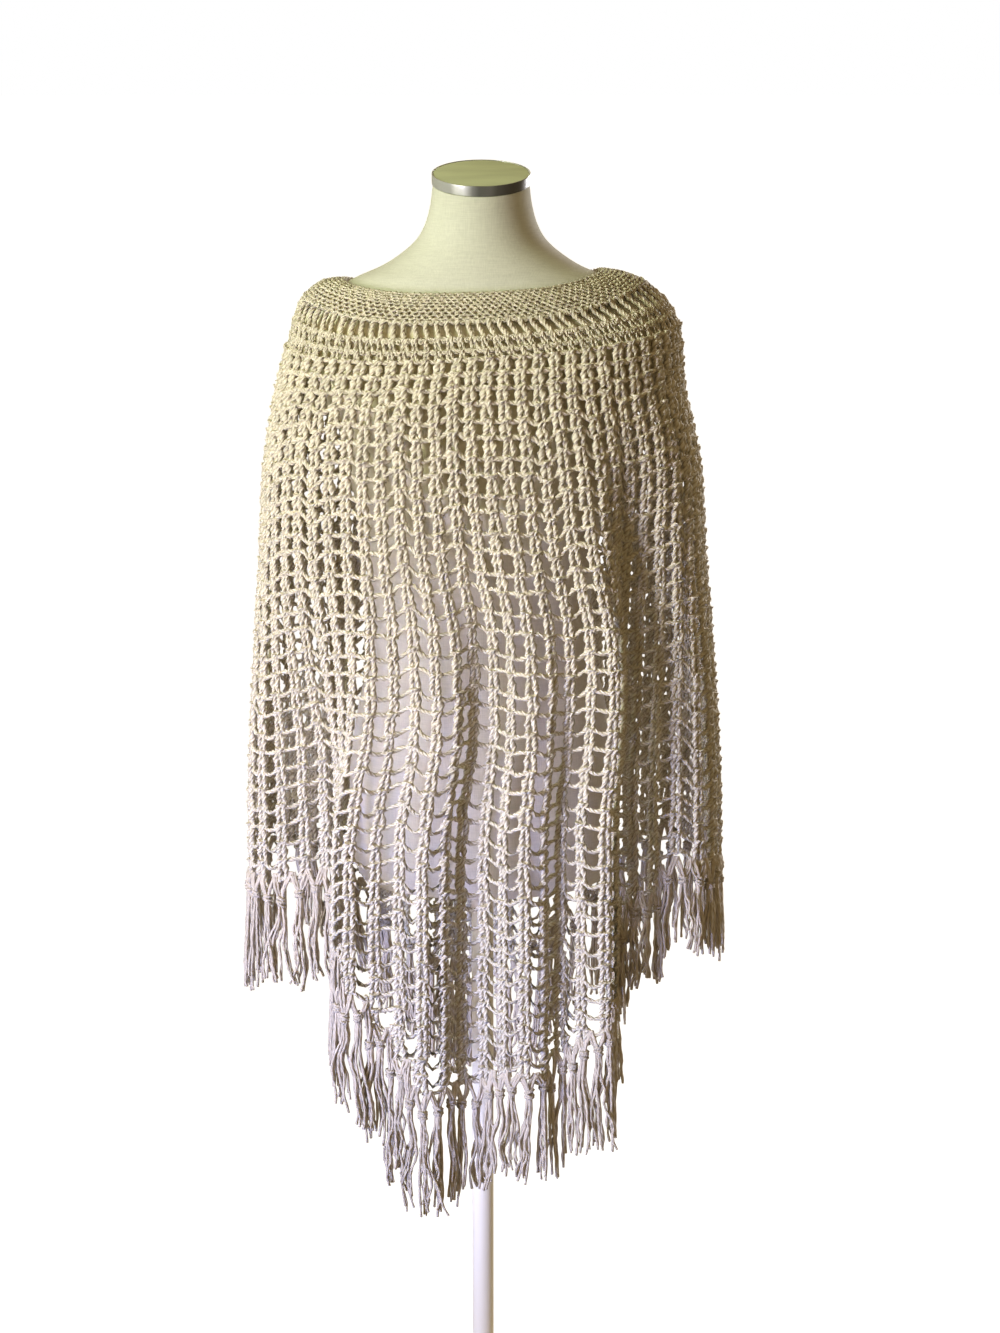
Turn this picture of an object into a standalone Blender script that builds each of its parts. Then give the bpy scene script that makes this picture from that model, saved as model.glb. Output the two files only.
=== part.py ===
"""A crocheted, fringed poncho on a limbless dress form with a pole and a round base.

Metres, +Z up. The origin is the centre of the base's underside. The front faces -Y.

The cloth is one surface, cloth_point(column, row). Columns run round the poncho: 0 is the
side at -X, 16 the centre front, 32 the side at +X and 48 the centre back. Rows run down it:
-1 is the neck edge, 0 the foot of the neck band, 3 the foot of the yoke, 31 the side hem and
44 the front and back points.
"""
import math
from collections import namedtuple

import bmesh
import bpy
import numpy as np
from mathutils import Matrix, Vector

# ---- driving sizes, metres unless a name says otherwise ----
COLUMNS = 64                     # mesh columns round the poncho
HALF = COLUMNS // 2
NECK_ROW = -1.0
BAND_ROW = 0.0
YOKE_ROW = 3.0
WALL = 0.0025                    # cloth thickness
BAND_WALL = 0.0028
FRINGE_WALL = 0.003
FRINGE_DROP = 0.130              # hem to the mean tip of the fringe
FRINGE_FLARE = 0.04              # outward drift for each metre of drop
SEAM_ROWS = 0.045                # gap between pieces, in rows
SEAM_COLUMNS = 0.012             # half gap at the sides, in columns
FRINGE_GAP = 0.0025
MESH_LEVELS = 9                  # faceted rows of the front and of the back
MESH_CROWDING = 1.12             # above 1 the upper rows are the closer ones
SQUARENESS = 2.35                # superellipse power of a ring in plan
FRONT_TURN = 3.2                 # how close to the side the front rows turn up
RING_STEPS = 256                 # samples along half a ring
TIGHTEST = 0.25                  # least share of a column's width kept along the ring
WIDTH_LIMITS = (0.2, 5.0)        # where the true column width is looked for, in mean widths
WIDTH_HALVINGS = 40

CAP_RADIUS = 0.0525
CAP_HEIGHT = 0.011
CAP_WALL = 0.0014
CAP_TILT = math.radians(12.5)    # the neck leans forward
CAP_CENTRE = Vector((0.0, -0.012, 1.4445))
CAP_PLATE_HEIGHT = 0.010
CAP_PLATE_INSET = 0.0004         # how far the plate lies below the ring's edge
CAP_SOFTNESS = 0.0008            # width of the ring's and the plate's broken edges
NECK_FOOT = 1.350                # above this height the sections lean forward
GAP = 0.0003

POLE_RADIUS = 0.0125
POLE_SOCKET = 0.030              # how far the pole goes into the torso
POLE_SEAT = 0.016                # how far it goes into the base
BASE_RADIUS = 0.155
BASE_RIM = 0.005
BASE_HEIGHT = 0.013
BASE_COLLAR_RADIUS = 0.024
BASE_COLLAR_HEIGHT = 0.034
COLLAR_SOFTNESS = 0.002
COLLAR_FILLET = 0.004
BASE_RIM_WIDTH = 0.006
STAND_SOFTNESS = 0.001

FORM_SEGMENTS = 36
POLE_SEGMENTS = 32
ROUND_SEGMENTS = 48

Ring = namedtuple("Ring", "row x_centre half_width front_depth back_depth front_z side_z back_z tilt turn")
# tilt lifts the side at +X and lowers the one at -X; turn is how close to the side the back turns down
RINGS = (
    Ring(-1, -0.0093, 0.1398, 0.0800, 0.0830, 1.3285, 1.3400, 1.3290, 0.0050, 6.0),
    Ring(-0.5, -0.0091, 0.1609, 0.0890, 0.0895, 1.3165, 1.3375, 1.3165, 0.0045, 5.1),
    Ring(0, -0.0078, 0.1803, 0.0980, 0.0955, 1.3015, 1.3268, 1.3000, 0.0073, 4.5),
    Ring(1, -0.0026, 0.1973, 0.1070, 0.1020, 1.2860, 1.3060, 1.2845, 0.0110, 4.0),
    Ring(2, 0.0002, 0.2040, 0.1130, 0.1060, 1.2741, 1.2920, 1.2735, 0.0124, 3.5),
    Ring(3, 0.0010, 0.2098, 0.1170, 0.1090, 1.2652, 1.2763, 1.2640, 0.0126, 3.2),
    Ring(4, -0.0006, 0.2134, 0.1220, 0.1120, 1.2509, 1.2558, 1.2515, 0.0118, 3.2),
    Ring(6, -0.0028, 0.2198, 0.1310, 0.1180, 1.2229, 1.2140, 1.2240, 0.0090, 3.2),
    Ring(9, 0.0000, 0.2335, 0.1390, 0.1240, 1.1674, 1.1480, 1.1750, 0.0040, 3.2),
    Ring(14, 0.001, 0.2420, 0.143, 0.129, 1.0680, 1.0410, 1.0805, 0.0, 3.2),
    Ring(20, 0.003, 0.2515, 0.148, 0.135, 0.9382, 0.9126, 0.9560, 0.0, 3.2),
    Ring(26, 0.004, 0.2580, 0.152, 0.141, 0.8139, 0.7840, 0.8310, 0.0, 3.2),
    Ring(31, 0.004, 0.2605, 0.156, 0.145, 0.7120, 0.6770, 0.7280, 0.0, 3.2),
    Ring(38, 0.004, 0.2625, 0.159, 0.148, 0.5841, 0.5400, 0.5980, 0.0, 3.2),
    Ring(44, 0.004, 0.2635, 0.160, 0.150, 0.4716, 0.4250, 0.4850, 0.0, 3.2),
)

# A fold stands out (+) or in (-) of the ring by its depth once its full row is reached.
Fold = namedtuple("Fold", "column left_width right_width depth first_row full_row")
FOLDS = (
    Fold(1.7, 1.6, 1.6, 0.007, 12, 28),       # left side ridge
    Fold(5.9, 2.2, 1.6, -0.043, 13, 30),      # left recess
    Fold(9.2, 1.0, 1.3, 0.024, 12, 28),       # ridge left of the centre panel
    Fold(12.6, 1.3, 1.2, 0.018, 12, 28),      # ridge over the front point
    Fold(15.0, 1.2, 1.3, -0.020, 8, 24),      # centre valley
    Fold(17.7, 1.2, 1.0, 0.016, 9, 26),       # ridge right of the valley
    Fold(19.4, 0.9, 0.9, -0.013, 16, 28),     # narrow valley
    Fold(21.7, 1.2, 1.1, 0.022, 8, 26),       # ridge right of the centre panel
    Fold(24.6, 1.7, 2.2, -0.054, 4, 26),      # right recess
    Fold(29.2, 1.8, 1.8, 0.008, 14, 28),      # right side ridge
    Fold(35.0, 1.6, 1.6, 0.009, 13, 28),      # back, from the side at +X round to -X
    Fold(38.7, 2.0, 1.8, -0.036, 10, 28),
    Fold(42.1, 1.3, 1.5, 0.019, 12, 28),
    Fold(45.3, 1.4, 1.2, -0.019, 14, 28),
    Fold(48.4, 1.6, 1.5, 0.020, 9, 27),
    Fold(51.7, 1.3, 1.6, -0.025, 11, 27),
    Fold(55.0, 1.4, 1.4, 0.017, 13, 28),
    Fold(58.5, 1.9, 2.1, -0.040, 8, 28),
    Fold(62.1, 1.6, 1.7, 0.009, 14, 28),
)

# The row each column ends at: level at the sides, down to a point in front and behind.
Hem = namedtuple("Hem", "column last_row")
HEM = (
    Hem(0, 31.2), Hem(6, 31.5), Hem(8, 34), Hem(9, 37), Hem(11, 40.5), Hem(12.5, 44),
    Hem(16, 43.6), Hem(18.5, 42.8), Hem(22, 39), Hem(25, 34), Hem(27, 30.9), Hem(32, 30.3),
    Hem(37, 31.3), Hem(41, 36.5), Hem(45, 42), Hem(48, 44), Hem(51, 42), Hem(55, 36.5),
    Hem(59, 31.5), Hem(64, 31.2),
)

Section = namedtuple("Section", "z half_width front back squareness")
FORM_SECTIONS = (
    Section(0.6640, 0.1370, 0.0880, 0.0940, 2.0),
    Section(0.6710, 0.1410, 0.0910, 0.0980, 2.0),
    Section(0.7250, 0.1480, 0.1010, 0.1070, 2.0),
    Section(0.7900, 0.1490, 0.1040, 0.1110, 2.0),
    Section(0.8600, 0.1390, 0.0990, 0.1010, 2.0),
    Section(0.9200, 0.1260, 0.0940, 0.0880, 2.0),
    Section(0.9700, 0.1200, 0.0930, 0.0810, 2.0),
    Section(1.0200, 0.1230, 0.1010, 0.0820, 2.0),
    Section(1.0700, 0.1320, 0.1150, 0.0880, 2.0),
    Section(1.1150, 0.1410, 0.1270, 0.0950, 2.05),
    Section(1.1550, 0.1490, 0.1315, 0.1010, 2.1),
    Section(1.1900, 0.1600, 0.1290, 0.1060, 2.2),
    Section(1.2200, 0.1790, 0.1235, 0.1080, 2.3),
    Section(1.2450, 0.1945, 0.1165, 0.1065, 2.35),
    Section(1.2650, 0.2000, 0.1095, 0.1025, 2.35),
    Section(1.2820, 0.1990, 0.1025, 0.0965, 2.35),
    Section(1.2980, 0.1935, 0.0940, 0.0905, 2.3),
    Section(1.3110, 0.1850, 0.0860, 0.0845, 2.2),
    Section(1.3200, 0.1755, 0.0790, 0.0800, 2.1),
    Section(1.3275, 0.1625, 0.0740, 0.0765, 2.0),
    Section(1.3325, 0.1480, 0.0710, 0.0740, 2.0),
    Section(1.3410, 0.1300, 0.0690, 0.0710, 2.0),
    Section(1.3500, 0.1090, 0.0670, 0.0670, 2.0),
    Section(1.3620, 0.0890, 0.0650, 0.0620, 2.0),
    Section(1.3780, 0.0700, 0.0625, 0.0560, 2.0),
    Section(1.3950, 0.0600, 0.0610, 0.0500, 2.0),
    Section(1.4120, 0.0550, 0.0605, 0.0450, 2.0),
    Section(1.4385, 0.0512, 0.0628, 0.0388, 2.0),
)

COTTON = (0.80, 0.73, 0.58)
LINEN = (0.74, 0.71, 0.57)
PLATE = (0.66, 0.63, 0.48)
STEEL = (0.62, 0.62, 0.61)
ENAMEL = (0.92, 0.92, 0.91)


# ---- smooth reading of the tables ----
def read_smooth(rows, key, name, at):
    """A named column of a table at any key, on cubics through its rows with even slopes."""
    keys = np.array([getattr(row, key) for row in rows], float)
    values = np.array([getattr(row, name) for row in rows], float)
    slopes = np.gradient(values, keys)
    at = np.clip(at, keys[0], keys[-1])
    low = np.clip(np.searchsorted(keys, at, side="right") - 1, 0, len(keys) - 2)
    span = keys[low + 1] - keys[low]
    t = (at - keys[low]) / span
    start = values[low] * (2 * t ** 3 - 3 * t ** 2 + 1) + slopes[low] * span * (t ** 3 - 2 * t ** 2 + t)
    end = values[low + 1] * (3 * t ** 2 - 2 * t ** 3) + slopes[low + 1] * span * (t ** 3 - t ** 2)
    return start + end


def smooth_step(value):
    """0 below 0, 1 above 1, with level ends."""
    value = min(max(value, 0.0), 1.0)
    return value * value * (3.0 - 2.0 * value)


def last_row(column):
    """The row at which a column ends."""
    return float(read_smooth(HEM, "column", "last_row", column % COLUMNS))


# ---- the draped cloth ----
def fold_depth(columns, row):
    """How far the folds move each column out of its ring at a row."""
    depth = np.zeros_like(columns)
    for fold in FOLDS:
        share = smooth_step((row - fold.first_row) / (fold.full_row - fold.first_row))
        away = (columns - fold.column + HALF) % COLUMNS - HALF
        width = np.where(away < 0.0, fold.left_width, fold.right_width)
        depth += fold.depth * share * np.exp(-(away / width) ** 2)
    return depth


def ring_values(row):
    """The ring's sizes at a row, as one Ring."""
    sizes = (float(read_smooth(RINGS, "row", name, row)) for name in Ring._fields[1:])
    return Ring(row, *sizes)


def ring_plan(ring, angle):
    """Points of a plain ring in plan; angle runs from -X over the front to +X and back."""
    cosine = np.cos(angle)
    sine = np.sin(angle)
    power = 2.0 / SQUARENESS
    depth = np.where(sine >= 0.0, ring.front_depth, ring.back_depth)
    x = ring.x_centre - ring.half_width * np.sign(cosine) * np.abs(cosine) ** power
    y = -depth * np.sign(sine) * np.abs(sine) ** power
    centre_z = np.where(sine >= 0.0, ring.front_z, ring.back_z)
    level = 1.0 - np.abs(cosine) ** (power * np.where(sine >= 0.0, FRONT_TURN, ring.turn))
    side_z = ring.side_z + ring.tilt * (x - ring.x_centre) / ring.half_width
    z = side_z + (centre_z - ring.side_z) * level
    return np.stack([x, y, z], axis=-1)


def half_ring(row, first_column):
    """A table of columns and their points along the front half (first column 0) or the back.

    Columns are one width of cloth apart along the folded ring, so they crowd where a fold
    runs steeply in or out. The width is the one that makes the half ring close.
    """
    ring = ring_values(row)
    start = math.pi * first_column / HALF
    angle = start + np.linspace(0.0, math.pi, 4 * RING_STEPS + 1)
    plain = ring_plan(ring, angle)
    pieces = np.linalg.norm(np.diff(plain[:, :2], axis=0), axis=1)
    along = np.concatenate([[0.0], np.cumsum(pieces)])
    columns = first_column + np.linspace(0.0, HALF, RING_STEPS + 1)
    depth = fold_depth(columns, row)
    slope = np.gradient(depth, columns)
    narrow, wide = (limit * along[-1] / HALF for limit in WIDTH_LIMITS)
    for _ in range(WIDTH_HALVINGS):
        width = 0.5 * (narrow + wide)
        rate = np.sqrt(np.maximum(width ** 2 - slope ** 2, (TIGHTEST * width) ** 2))
        steps = 0.5 * (rate[1:] + rate[:-1]) * np.diff(columns)
        if steps.sum() > along[-1]:
            wide = width
        else:
            narrow = width
    reach = np.concatenate([[0.0], np.cumsum(steps)])
    reach *= along[-1] / reach[-1]
    at = np.interp(reach, along, angle)
    points = ring_plan(ring, at)
    near = 1e-3
    ahead = ring_plan(ring, at + near) - ring_plan(ring, at - near)
    outward = np.stack([-ahead[:, 1], ahead[:, 0]], axis=-1)
    outward /= -np.linalg.norm(outward, axis=1, keepdims=True)
    points[:, :2] += outward * depth[:, None]
    return columns, points


_half_rings = {}


def cloth_point(column, row):
    """The middle of the cloth at a column and a row."""
    column = column % COLUMNS
    first_column = 0 if column < HALF else HALF
    key = (round(row, 5), first_column)
    if key not in _half_rings:
        _half_rings[key] = half_ring(*key)
    columns, points = _half_rings[key]
    return Vector([float(np.interp(column, columns, points[:, axis])) for axis in range(3)])


def cloth_normal(column, row):
    """The outward direction of the cloth."""
    near = 0.12
    across = cloth_point(column + near, row) - cloth_point(column - near, row)
    down = cloth_point(column, row + near) - cloth_point(column, row - near)
    return down.cross(across).normalized()


# ---- building solids ----
def material(name, colour, roughness, metallic=0.0):
    made = bpy.data.materials.new(name)
    made.use_nodes = True
    shader = made.node_tree.nodes["Principled BSDF"]
    shader.inputs["Base Color"].default_value = (*colour, 1.0)
    shader.inputs["Roughness"].default_value = roughness
    shader.inputs["Metallic"].default_value = metallic
    return made


def add_object(name, mesh_data, finish):
    """Write a bmesh to a named object, smooth but for its sharp rims."""
    mesh = bpy.data.meshes.new(name)
    mesh_data.to_mesh(mesh)
    mesh_data.free()
    mesh.shade_smooth()
    mesh.set_sharp_from_angle(angle=math.radians(40))
    mesh.materials.append(finish)
    made = bpy.data.objects.new(name, mesh)
    bpy.context.scene.collection.objects.link(made)
    return made


def add_wall(name, grid, thickness, finish, closed=False):
    """A closed wall round a grid of (middle point, outward normal), rows first."""
    mesh_data = bmesh.new()
    skins = []
    for side in (0.5, -0.5):
        skin = [[mesh_data.verts.new(point + normal * thickness * side) for point, normal in line]
                for line in grid]
        skins.append(skin)
    outer, inner = skins
    last_line = len(grid) - 1
    count = len(grid[0])
    spans = count if closed else count - 1
    for line in range(last_line):
        for span in range(spans):
            following = (span + 1) % count
            mesh_data.faces.new((outer[line][span], outer[line + 1][span],
                                 outer[line + 1][following], outer[line][following]))
            mesh_data.faces.new((inner[line][span], inner[line][following],
                                 inner[line + 1][following], inner[line + 1][span]))
    for span in range(spans):
        following = (span + 1) % count
        mesh_data.faces.new((outer[0][following], inner[0][following],
                             inner[0][span], outer[0][span]))
        mesh_data.faces.new((outer[last_line][span], inner[last_line][span],
                             inner[last_line][following], outer[last_line][following]))
    if not closed:
        for line in range(last_line):
            mesh_data.faces.new((outer[line][0], inner[line][0],
                                 inner[line + 1][0], outer[line + 1][0]))
            mesh_data.faces.new((outer[line + 1][-1], inner[line + 1][-1],
                                 inner[line][-1], outer[line][-1]))
    bmesh.ops.recalc_face_normals(mesh_data, faces=mesh_data.faces[:])
    return add_object(name, mesh_data, finish)


def add_turned(name, profile, segments, finish):
    """A solid of revolution about Z from (radius, z) points, first and last on the axis."""
    mesh_data = bmesh.new()
    rings = []
    for radius, z in profile:
        if radius == 0.0:
            rings.append([mesh_data.verts.new((0.0, 0.0, z))])
            continue
        turns = (2.0 * math.pi * step / segments for step in range(segments))
        rings.append([mesh_data.verts.new((radius * math.cos(turn), radius * math.sin(turn), z))
                      for turn in turns])
    for upper, lower in zip(rings, rings[1:]):
        for step in range(segments):
            following = (step + 1) % segments
            if len(upper) == 1:
                corners = (upper[0], lower[step], lower[following])
            elif len(lower) == 1:
                corners = (upper[step], lower[0], upper[following])
            else:
                corners = (upper[step], lower[step], lower[following], upper[following])
            mesh_data.faces.new(corners)
    bmesh.ops.recalc_face_normals(mesh_data, faces=mesh_data.faces[:])
    return add_object(name, mesh_data, finish)


# ---- the cloth pieces ----
def cloth_ring(name, rows, thickness, finish):
    """A closed ring of cloth between the first and the last of its rows."""
    grid = [[(cloth_point(column, row), cloth_normal(column, row)) for column in range(COLUMNS)]
            for row in rows]
    return add_wall(name, grid, thickness, finish, closed=True)


def half_columns(first_column, steps_each=2):
    """Columns of the front or back half, clear of the sides by the seam gap."""
    steps = HALF * steps_each
    width = HALF - 2.0 * SEAM_COLUMNS
    return [first_column + SEAM_COLUMNS + width * step / steps for step in range(steps + 1)]


def mesh_half(name, first_column, finish):
    """The front or back below the yoke; its levels end on the stepped-down hem."""
    top = YOKE_ROW + SEAM_ROWS
    grid = []
    for level in range(MESH_LEVELS + 1):
        share = (level / MESH_LEVELS) ** MESH_CROWDING
        line = []
        for column in half_columns(first_column):
            row = top + (last_row(column) - top) * share
            line.append((cloth_point(column, row), cloth_normal(column, row)))
        grid.append(line)
    return add_wall(name, grid, WALL, finish)


def fringe_half(name, first_column, finish):
    """A plain curtain of the fringe's reach, hanging from the hem."""
    hems = [cloth_point(column, last_row(column)) for column in half_columns(first_column)]
    outwards = []
    for place in range(len(hems)):
        before = hems[max(place - 1, 0)]
        after = hems[min(place + 1, len(hems) - 1)]
        outwards.append(Vector((after.y - before.y, before.x - after.x, 0.0)).normalized())
    grid = []
    for drop in (FRINGE_GAP, FRINGE_DROP * 0.5, FRINGE_DROP):
        fall = Vector((0.0, 0.0, -drop))
        grid.append([(hem + fall + outward * drop * FRINGE_FLARE, outward)
                     for hem, outward in zip(hems, outwards)])
    return add_wall(name, grid, FRINGE_WALL, finish)


# ---- the dress form and its stand ----
def form_body(finish):
    """The torso and neck: oval sections, a level foot with a pole socket, a tilted neck top."""
    mesh_data = bmesh.new()
    rings = []
    top = FORM_SECTIONS[-1]
    for section in FORM_SECTIONS:
        lean = smooth_step((section.z - NECK_FOOT) / (top.z - NECK_FOOT))
        ring = []
        for step in range(FORM_SEGMENTS):
            turn = 2.0 * math.pi * step / FORM_SEGMENTS
            power = 2.0 / section.squareness
            x = section.half_width * math.copysign(abs(math.cos(turn)) ** power, math.cos(turn))
            middle = 0.5 * (section.back - section.front)
            reach = 0.5 * (section.back + section.front)
            y = middle + reach * math.copysign(abs(math.sin(turn)) ** power, math.sin(turn))
            z = section.z + (y - CAP_CENTRE.y) * math.tan(CAP_TILT) * lean
            ring.append(mesh_data.verts.new((x, y, z)))
        rings.append(ring)
    for lower, upper in zip(rings, rings[1:]):
        for step in range(FORM_SEGMENTS):
            following = (step + 1) % FORM_SEGMENTS
            mesh_data.faces.new((lower[step], lower[following], upper[following], upper[step]))
    mesh_data.faces.new(rings[-1])
    foot = FORM_SECTIONS[0].z
    socket_radius = POLE_RADIUS + GAP
    sockets = []
    for z in (foot, foot + POLE_SOCKET + GAP):
        turns = (2.0 * math.pi * step / FORM_SEGMENTS for step in range(FORM_SEGMENTS))
        sockets.append([mesh_data.verts.new((socket_radius * math.cos(turn),
                                             socket_radius * math.sin(turn), z))
                        for turn in turns])
    mouth, end = sockets
    for step in range(FORM_SEGMENTS):
        following = (step + 1) % FORM_SEGMENTS
        mesh_data.faces.new((rings[0][following], rings[0][step], mouth[step], mouth[following]))
        mesh_data.faces.new((mouth[following], mouth[step], end[step], end[following]))
    mesh_data.faces.new(end)
    bmesh.ops.recalc_face_normals(mesh_data, faces=mesh_data.faces[:])
    return add_object("form_body", mesh_data, finish)


def tilt_to_neck(made):
    """Set a piece turned about Z on the leaning neck top."""
    made.matrix_world = Matrix.Translation(CAP_CENTRE) @ Matrix.Rotation(CAP_TILT, 4, "X")
    return made


def cap_ring(finish):
    """The metal band round the neck top: a short tube with softened edges."""
    mesh_data = bmesh.new()
    soft = CAP_SOFTNESS
    inner = CAP_RADIUS - CAP_WALL
    half = 0.5 * CAP_HEIGHT
    outline = ((CAP_RADIUS - soft, half), (CAP_RADIUS, half - soft), (CAP_RADIUS, soft - half),
               (CAP_RADIUS - soft, -half), (inner, -half), (inner, half))
    rings = []
    for radius, z in outline:
        turns = (2.0 * math.pi * step / ROUND_SEGMENTS for step in range(ROUND_SEGMENTS))
        rings.append([mesh_data.verts.new((radius * math.cos(turn), radius * math.sin(turn), z))
                      for turn in turns])
    for upper, lower in zip(rings, rings[1:] + rings[:1]):
        for step in range(ROUND_SEGMENTS):
            following = (step + 1) % ROUND_SEGMENTS
            mesh_data.faces.new((upper[step], lower[step], lower[following], upper[following]))
    bmesh.ops.recalc_face_normals(mesh_data, faces=mesh_data.faces[:])
    return tilt_to_neck(add_object("cap_ring", mesh_data, finish))


def cap_plate(finish):
    """The pale plate inside the ring, a little below its edge."""
    radius = CAP_RADIUS - CAP_WALL - GAP
    top = 0.5 * CAP_HEIGHT - CAP_PLATE_INSET
    soft = CAP_SOFTNESS
    foot = top - CAP_PLATE_HEIGHT
    profile = ((0.0, top), (radius - soft, top), (radius, top - soft), (radius, foot), (0.0, foot))
    return tilt_to_neck(add_turned("cap_plate", profile, ROUND_SEGMENTS, finish))


def stand(finish):
    """The pole and the round base it stands in."""
    foot = BASE_COLLAR_HEIGHT - POLE_SEAT
    top = FORM_SECTIONS[0].z + POLE_SOCKET
    soft = STAND_SOFTNESS
    pole = ((0.0, top), (POLE_RADIUS - soft, top), (POLE_RADIUS, top - soft),
            (POLE_RADIUS, foot + soft), (POLE_RADIUS - soft, foot), (0.0, foot))
    add_turned("stand_pole", pole, POLE_SEGMENTS, finish)
    seat = POLE_RADIUS + GAP
    base = ((0.0, foot - GAP), (seat, foot - GAP), (seat, BASE_COLLAR_HEIGHT),
            (BASE_COLLAR_RADIUS - COLLAR_SOFTNESS, BASE_COLLAR_HEIGHT),
            (BASE_COLLAR_RADIUS, BASE_COLLAR_HEIGHT - COLLAR_SOFTNESS),
            (BASE_COLLAR_RADIUS, BASE_HEIGHT + COLLAR_FILLET),
            (BASE_COLLAR_RADIUS + COLLAR_FILLET, BASE_HEIGHT),
            (BASE_RADIUS * 0.55, BASE_HEIGHT - soft),
            (BASE_RADIUS - BASE_RIM_WIDTH, BASE_RIM + 2.0 * soft),
            (BASE_RADIUS - soft, BASE_RIM), (BASE_RADIUS, BASE_RIM - soft),
            (BASE_RADIUS, soft), (BASE_RADIUS - soft, 0.0), (0.0, 0.0))
    add_turned("stand_base", base, ROUND_SEGMENTS, finish)


def main():
    for left_over in list(bpy.data.objects):
        bpy.data.objects.remove(left_over, do_unlink=True)
    cotton = material("cotton_yarn", COTTON, 0.85)
    linen = material("linen_jersey", LINEN, 0.9)
    plate = material("pale_plate", PLATE, 0.6)
    steel = material("brushed_steel", STEEL, 0.3, 1.0)
    enamel = material("white_enamel", ENAMEL, 0.4)

    cloth_ring("neckband", (NECK_ROW, 0.5 * (NECK_ROW + BAND_ROW), BAND_ROW), BAND_WALL, cotton)
    cloth_ring("yoke_rows", (BAND_ROW + SEAM_ROWS, 1.0, 2.0, YOKE_ROW), WALL, cotton)
    mesh_half("front_mesh", 0, cotton)
    mesh_half("back_mesh", HALF, cotton)
    fringe_half("front_fringe", 0, cotton)
    fringe_half("back_fringe", HALF, cotton)
    form_body(linen)
    cap_ring(steel)
    cap_plate(plate)
    stand(enamel)


main()
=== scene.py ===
"""Looks of a crocheted, fringed poncho on a limbless dress form.

The poncho is crocheted in the round from the neck down: a neck band of single crochet, three yoke
rounds, an open mesh of paired legs and chain bars, and a knotted fringe along the hem. Columns of
the mesh run round it from the side at -X over the front, rows run down it, as in the CAD.
"""
import math
from collections import namedtuple

import bmesh
import bpy
import numpy as np
from bpy.props import FloatProperty, IntProperty, PointerProperty, StringProperty
from mathutils import Matrix, Vector


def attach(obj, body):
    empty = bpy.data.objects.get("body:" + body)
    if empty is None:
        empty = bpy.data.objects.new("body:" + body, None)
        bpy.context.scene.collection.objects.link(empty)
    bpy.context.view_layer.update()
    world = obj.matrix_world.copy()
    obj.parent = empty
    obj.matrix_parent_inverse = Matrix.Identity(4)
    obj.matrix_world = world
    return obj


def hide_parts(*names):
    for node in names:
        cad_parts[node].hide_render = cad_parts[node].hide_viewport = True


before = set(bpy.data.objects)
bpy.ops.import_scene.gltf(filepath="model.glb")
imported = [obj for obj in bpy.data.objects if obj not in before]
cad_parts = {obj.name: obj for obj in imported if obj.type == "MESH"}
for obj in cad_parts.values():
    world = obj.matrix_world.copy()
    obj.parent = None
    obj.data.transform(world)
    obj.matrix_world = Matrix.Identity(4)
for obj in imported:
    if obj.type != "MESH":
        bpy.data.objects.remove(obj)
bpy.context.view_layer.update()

bl_info = {
    "name": "Crocheted poncho on a dress form",
    "version": (1, 0, 0),
    "blender": (4, 5, 0),
    "location": "View3D > Sidebar > Poncho",
    "description": "Builds the yarn, fringe, dress form and studio of a crocheted poncho",
    "category": "Add Mesh",
}

# ---- the draped cloth's own sizes, metres, as in the CAD ----
COLUMNS = 64                     # mesh columns round the poncho
HALF = COLUMNS // 2
QUARTER = HALF // 2
NECK_ROW = -1
BAND_ROW = 0
YOKE_ROW = 3
POINT_ROW = 44
SQUARENESS = 2.35                # superellipse power of a ring in plan
FRONT_TURN = 3.2                 # how close to the side the front rows turn up
RING_STEPS = 256                 # samples along half a ring
NEAR_ANGLE = 1e-3                # to either side of a point, for its ring's direction there
TIGHTEST = 0.25                  # least share of a column's width kept along the ring
WIDTH_LIMITS = (0.2, 5.0)        # where the true column width is looked for, in mean widths
WIDTH_HALVINGS = 40
ROW_STEP = 0.25                  # spacing of the table that the yarn is laid on
COLUMN_STEP = 0.125

Ring = namedtuple("Ring", "row x_centre half_width front_depth back_depth front_z side_z back_z tilt turn")
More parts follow.
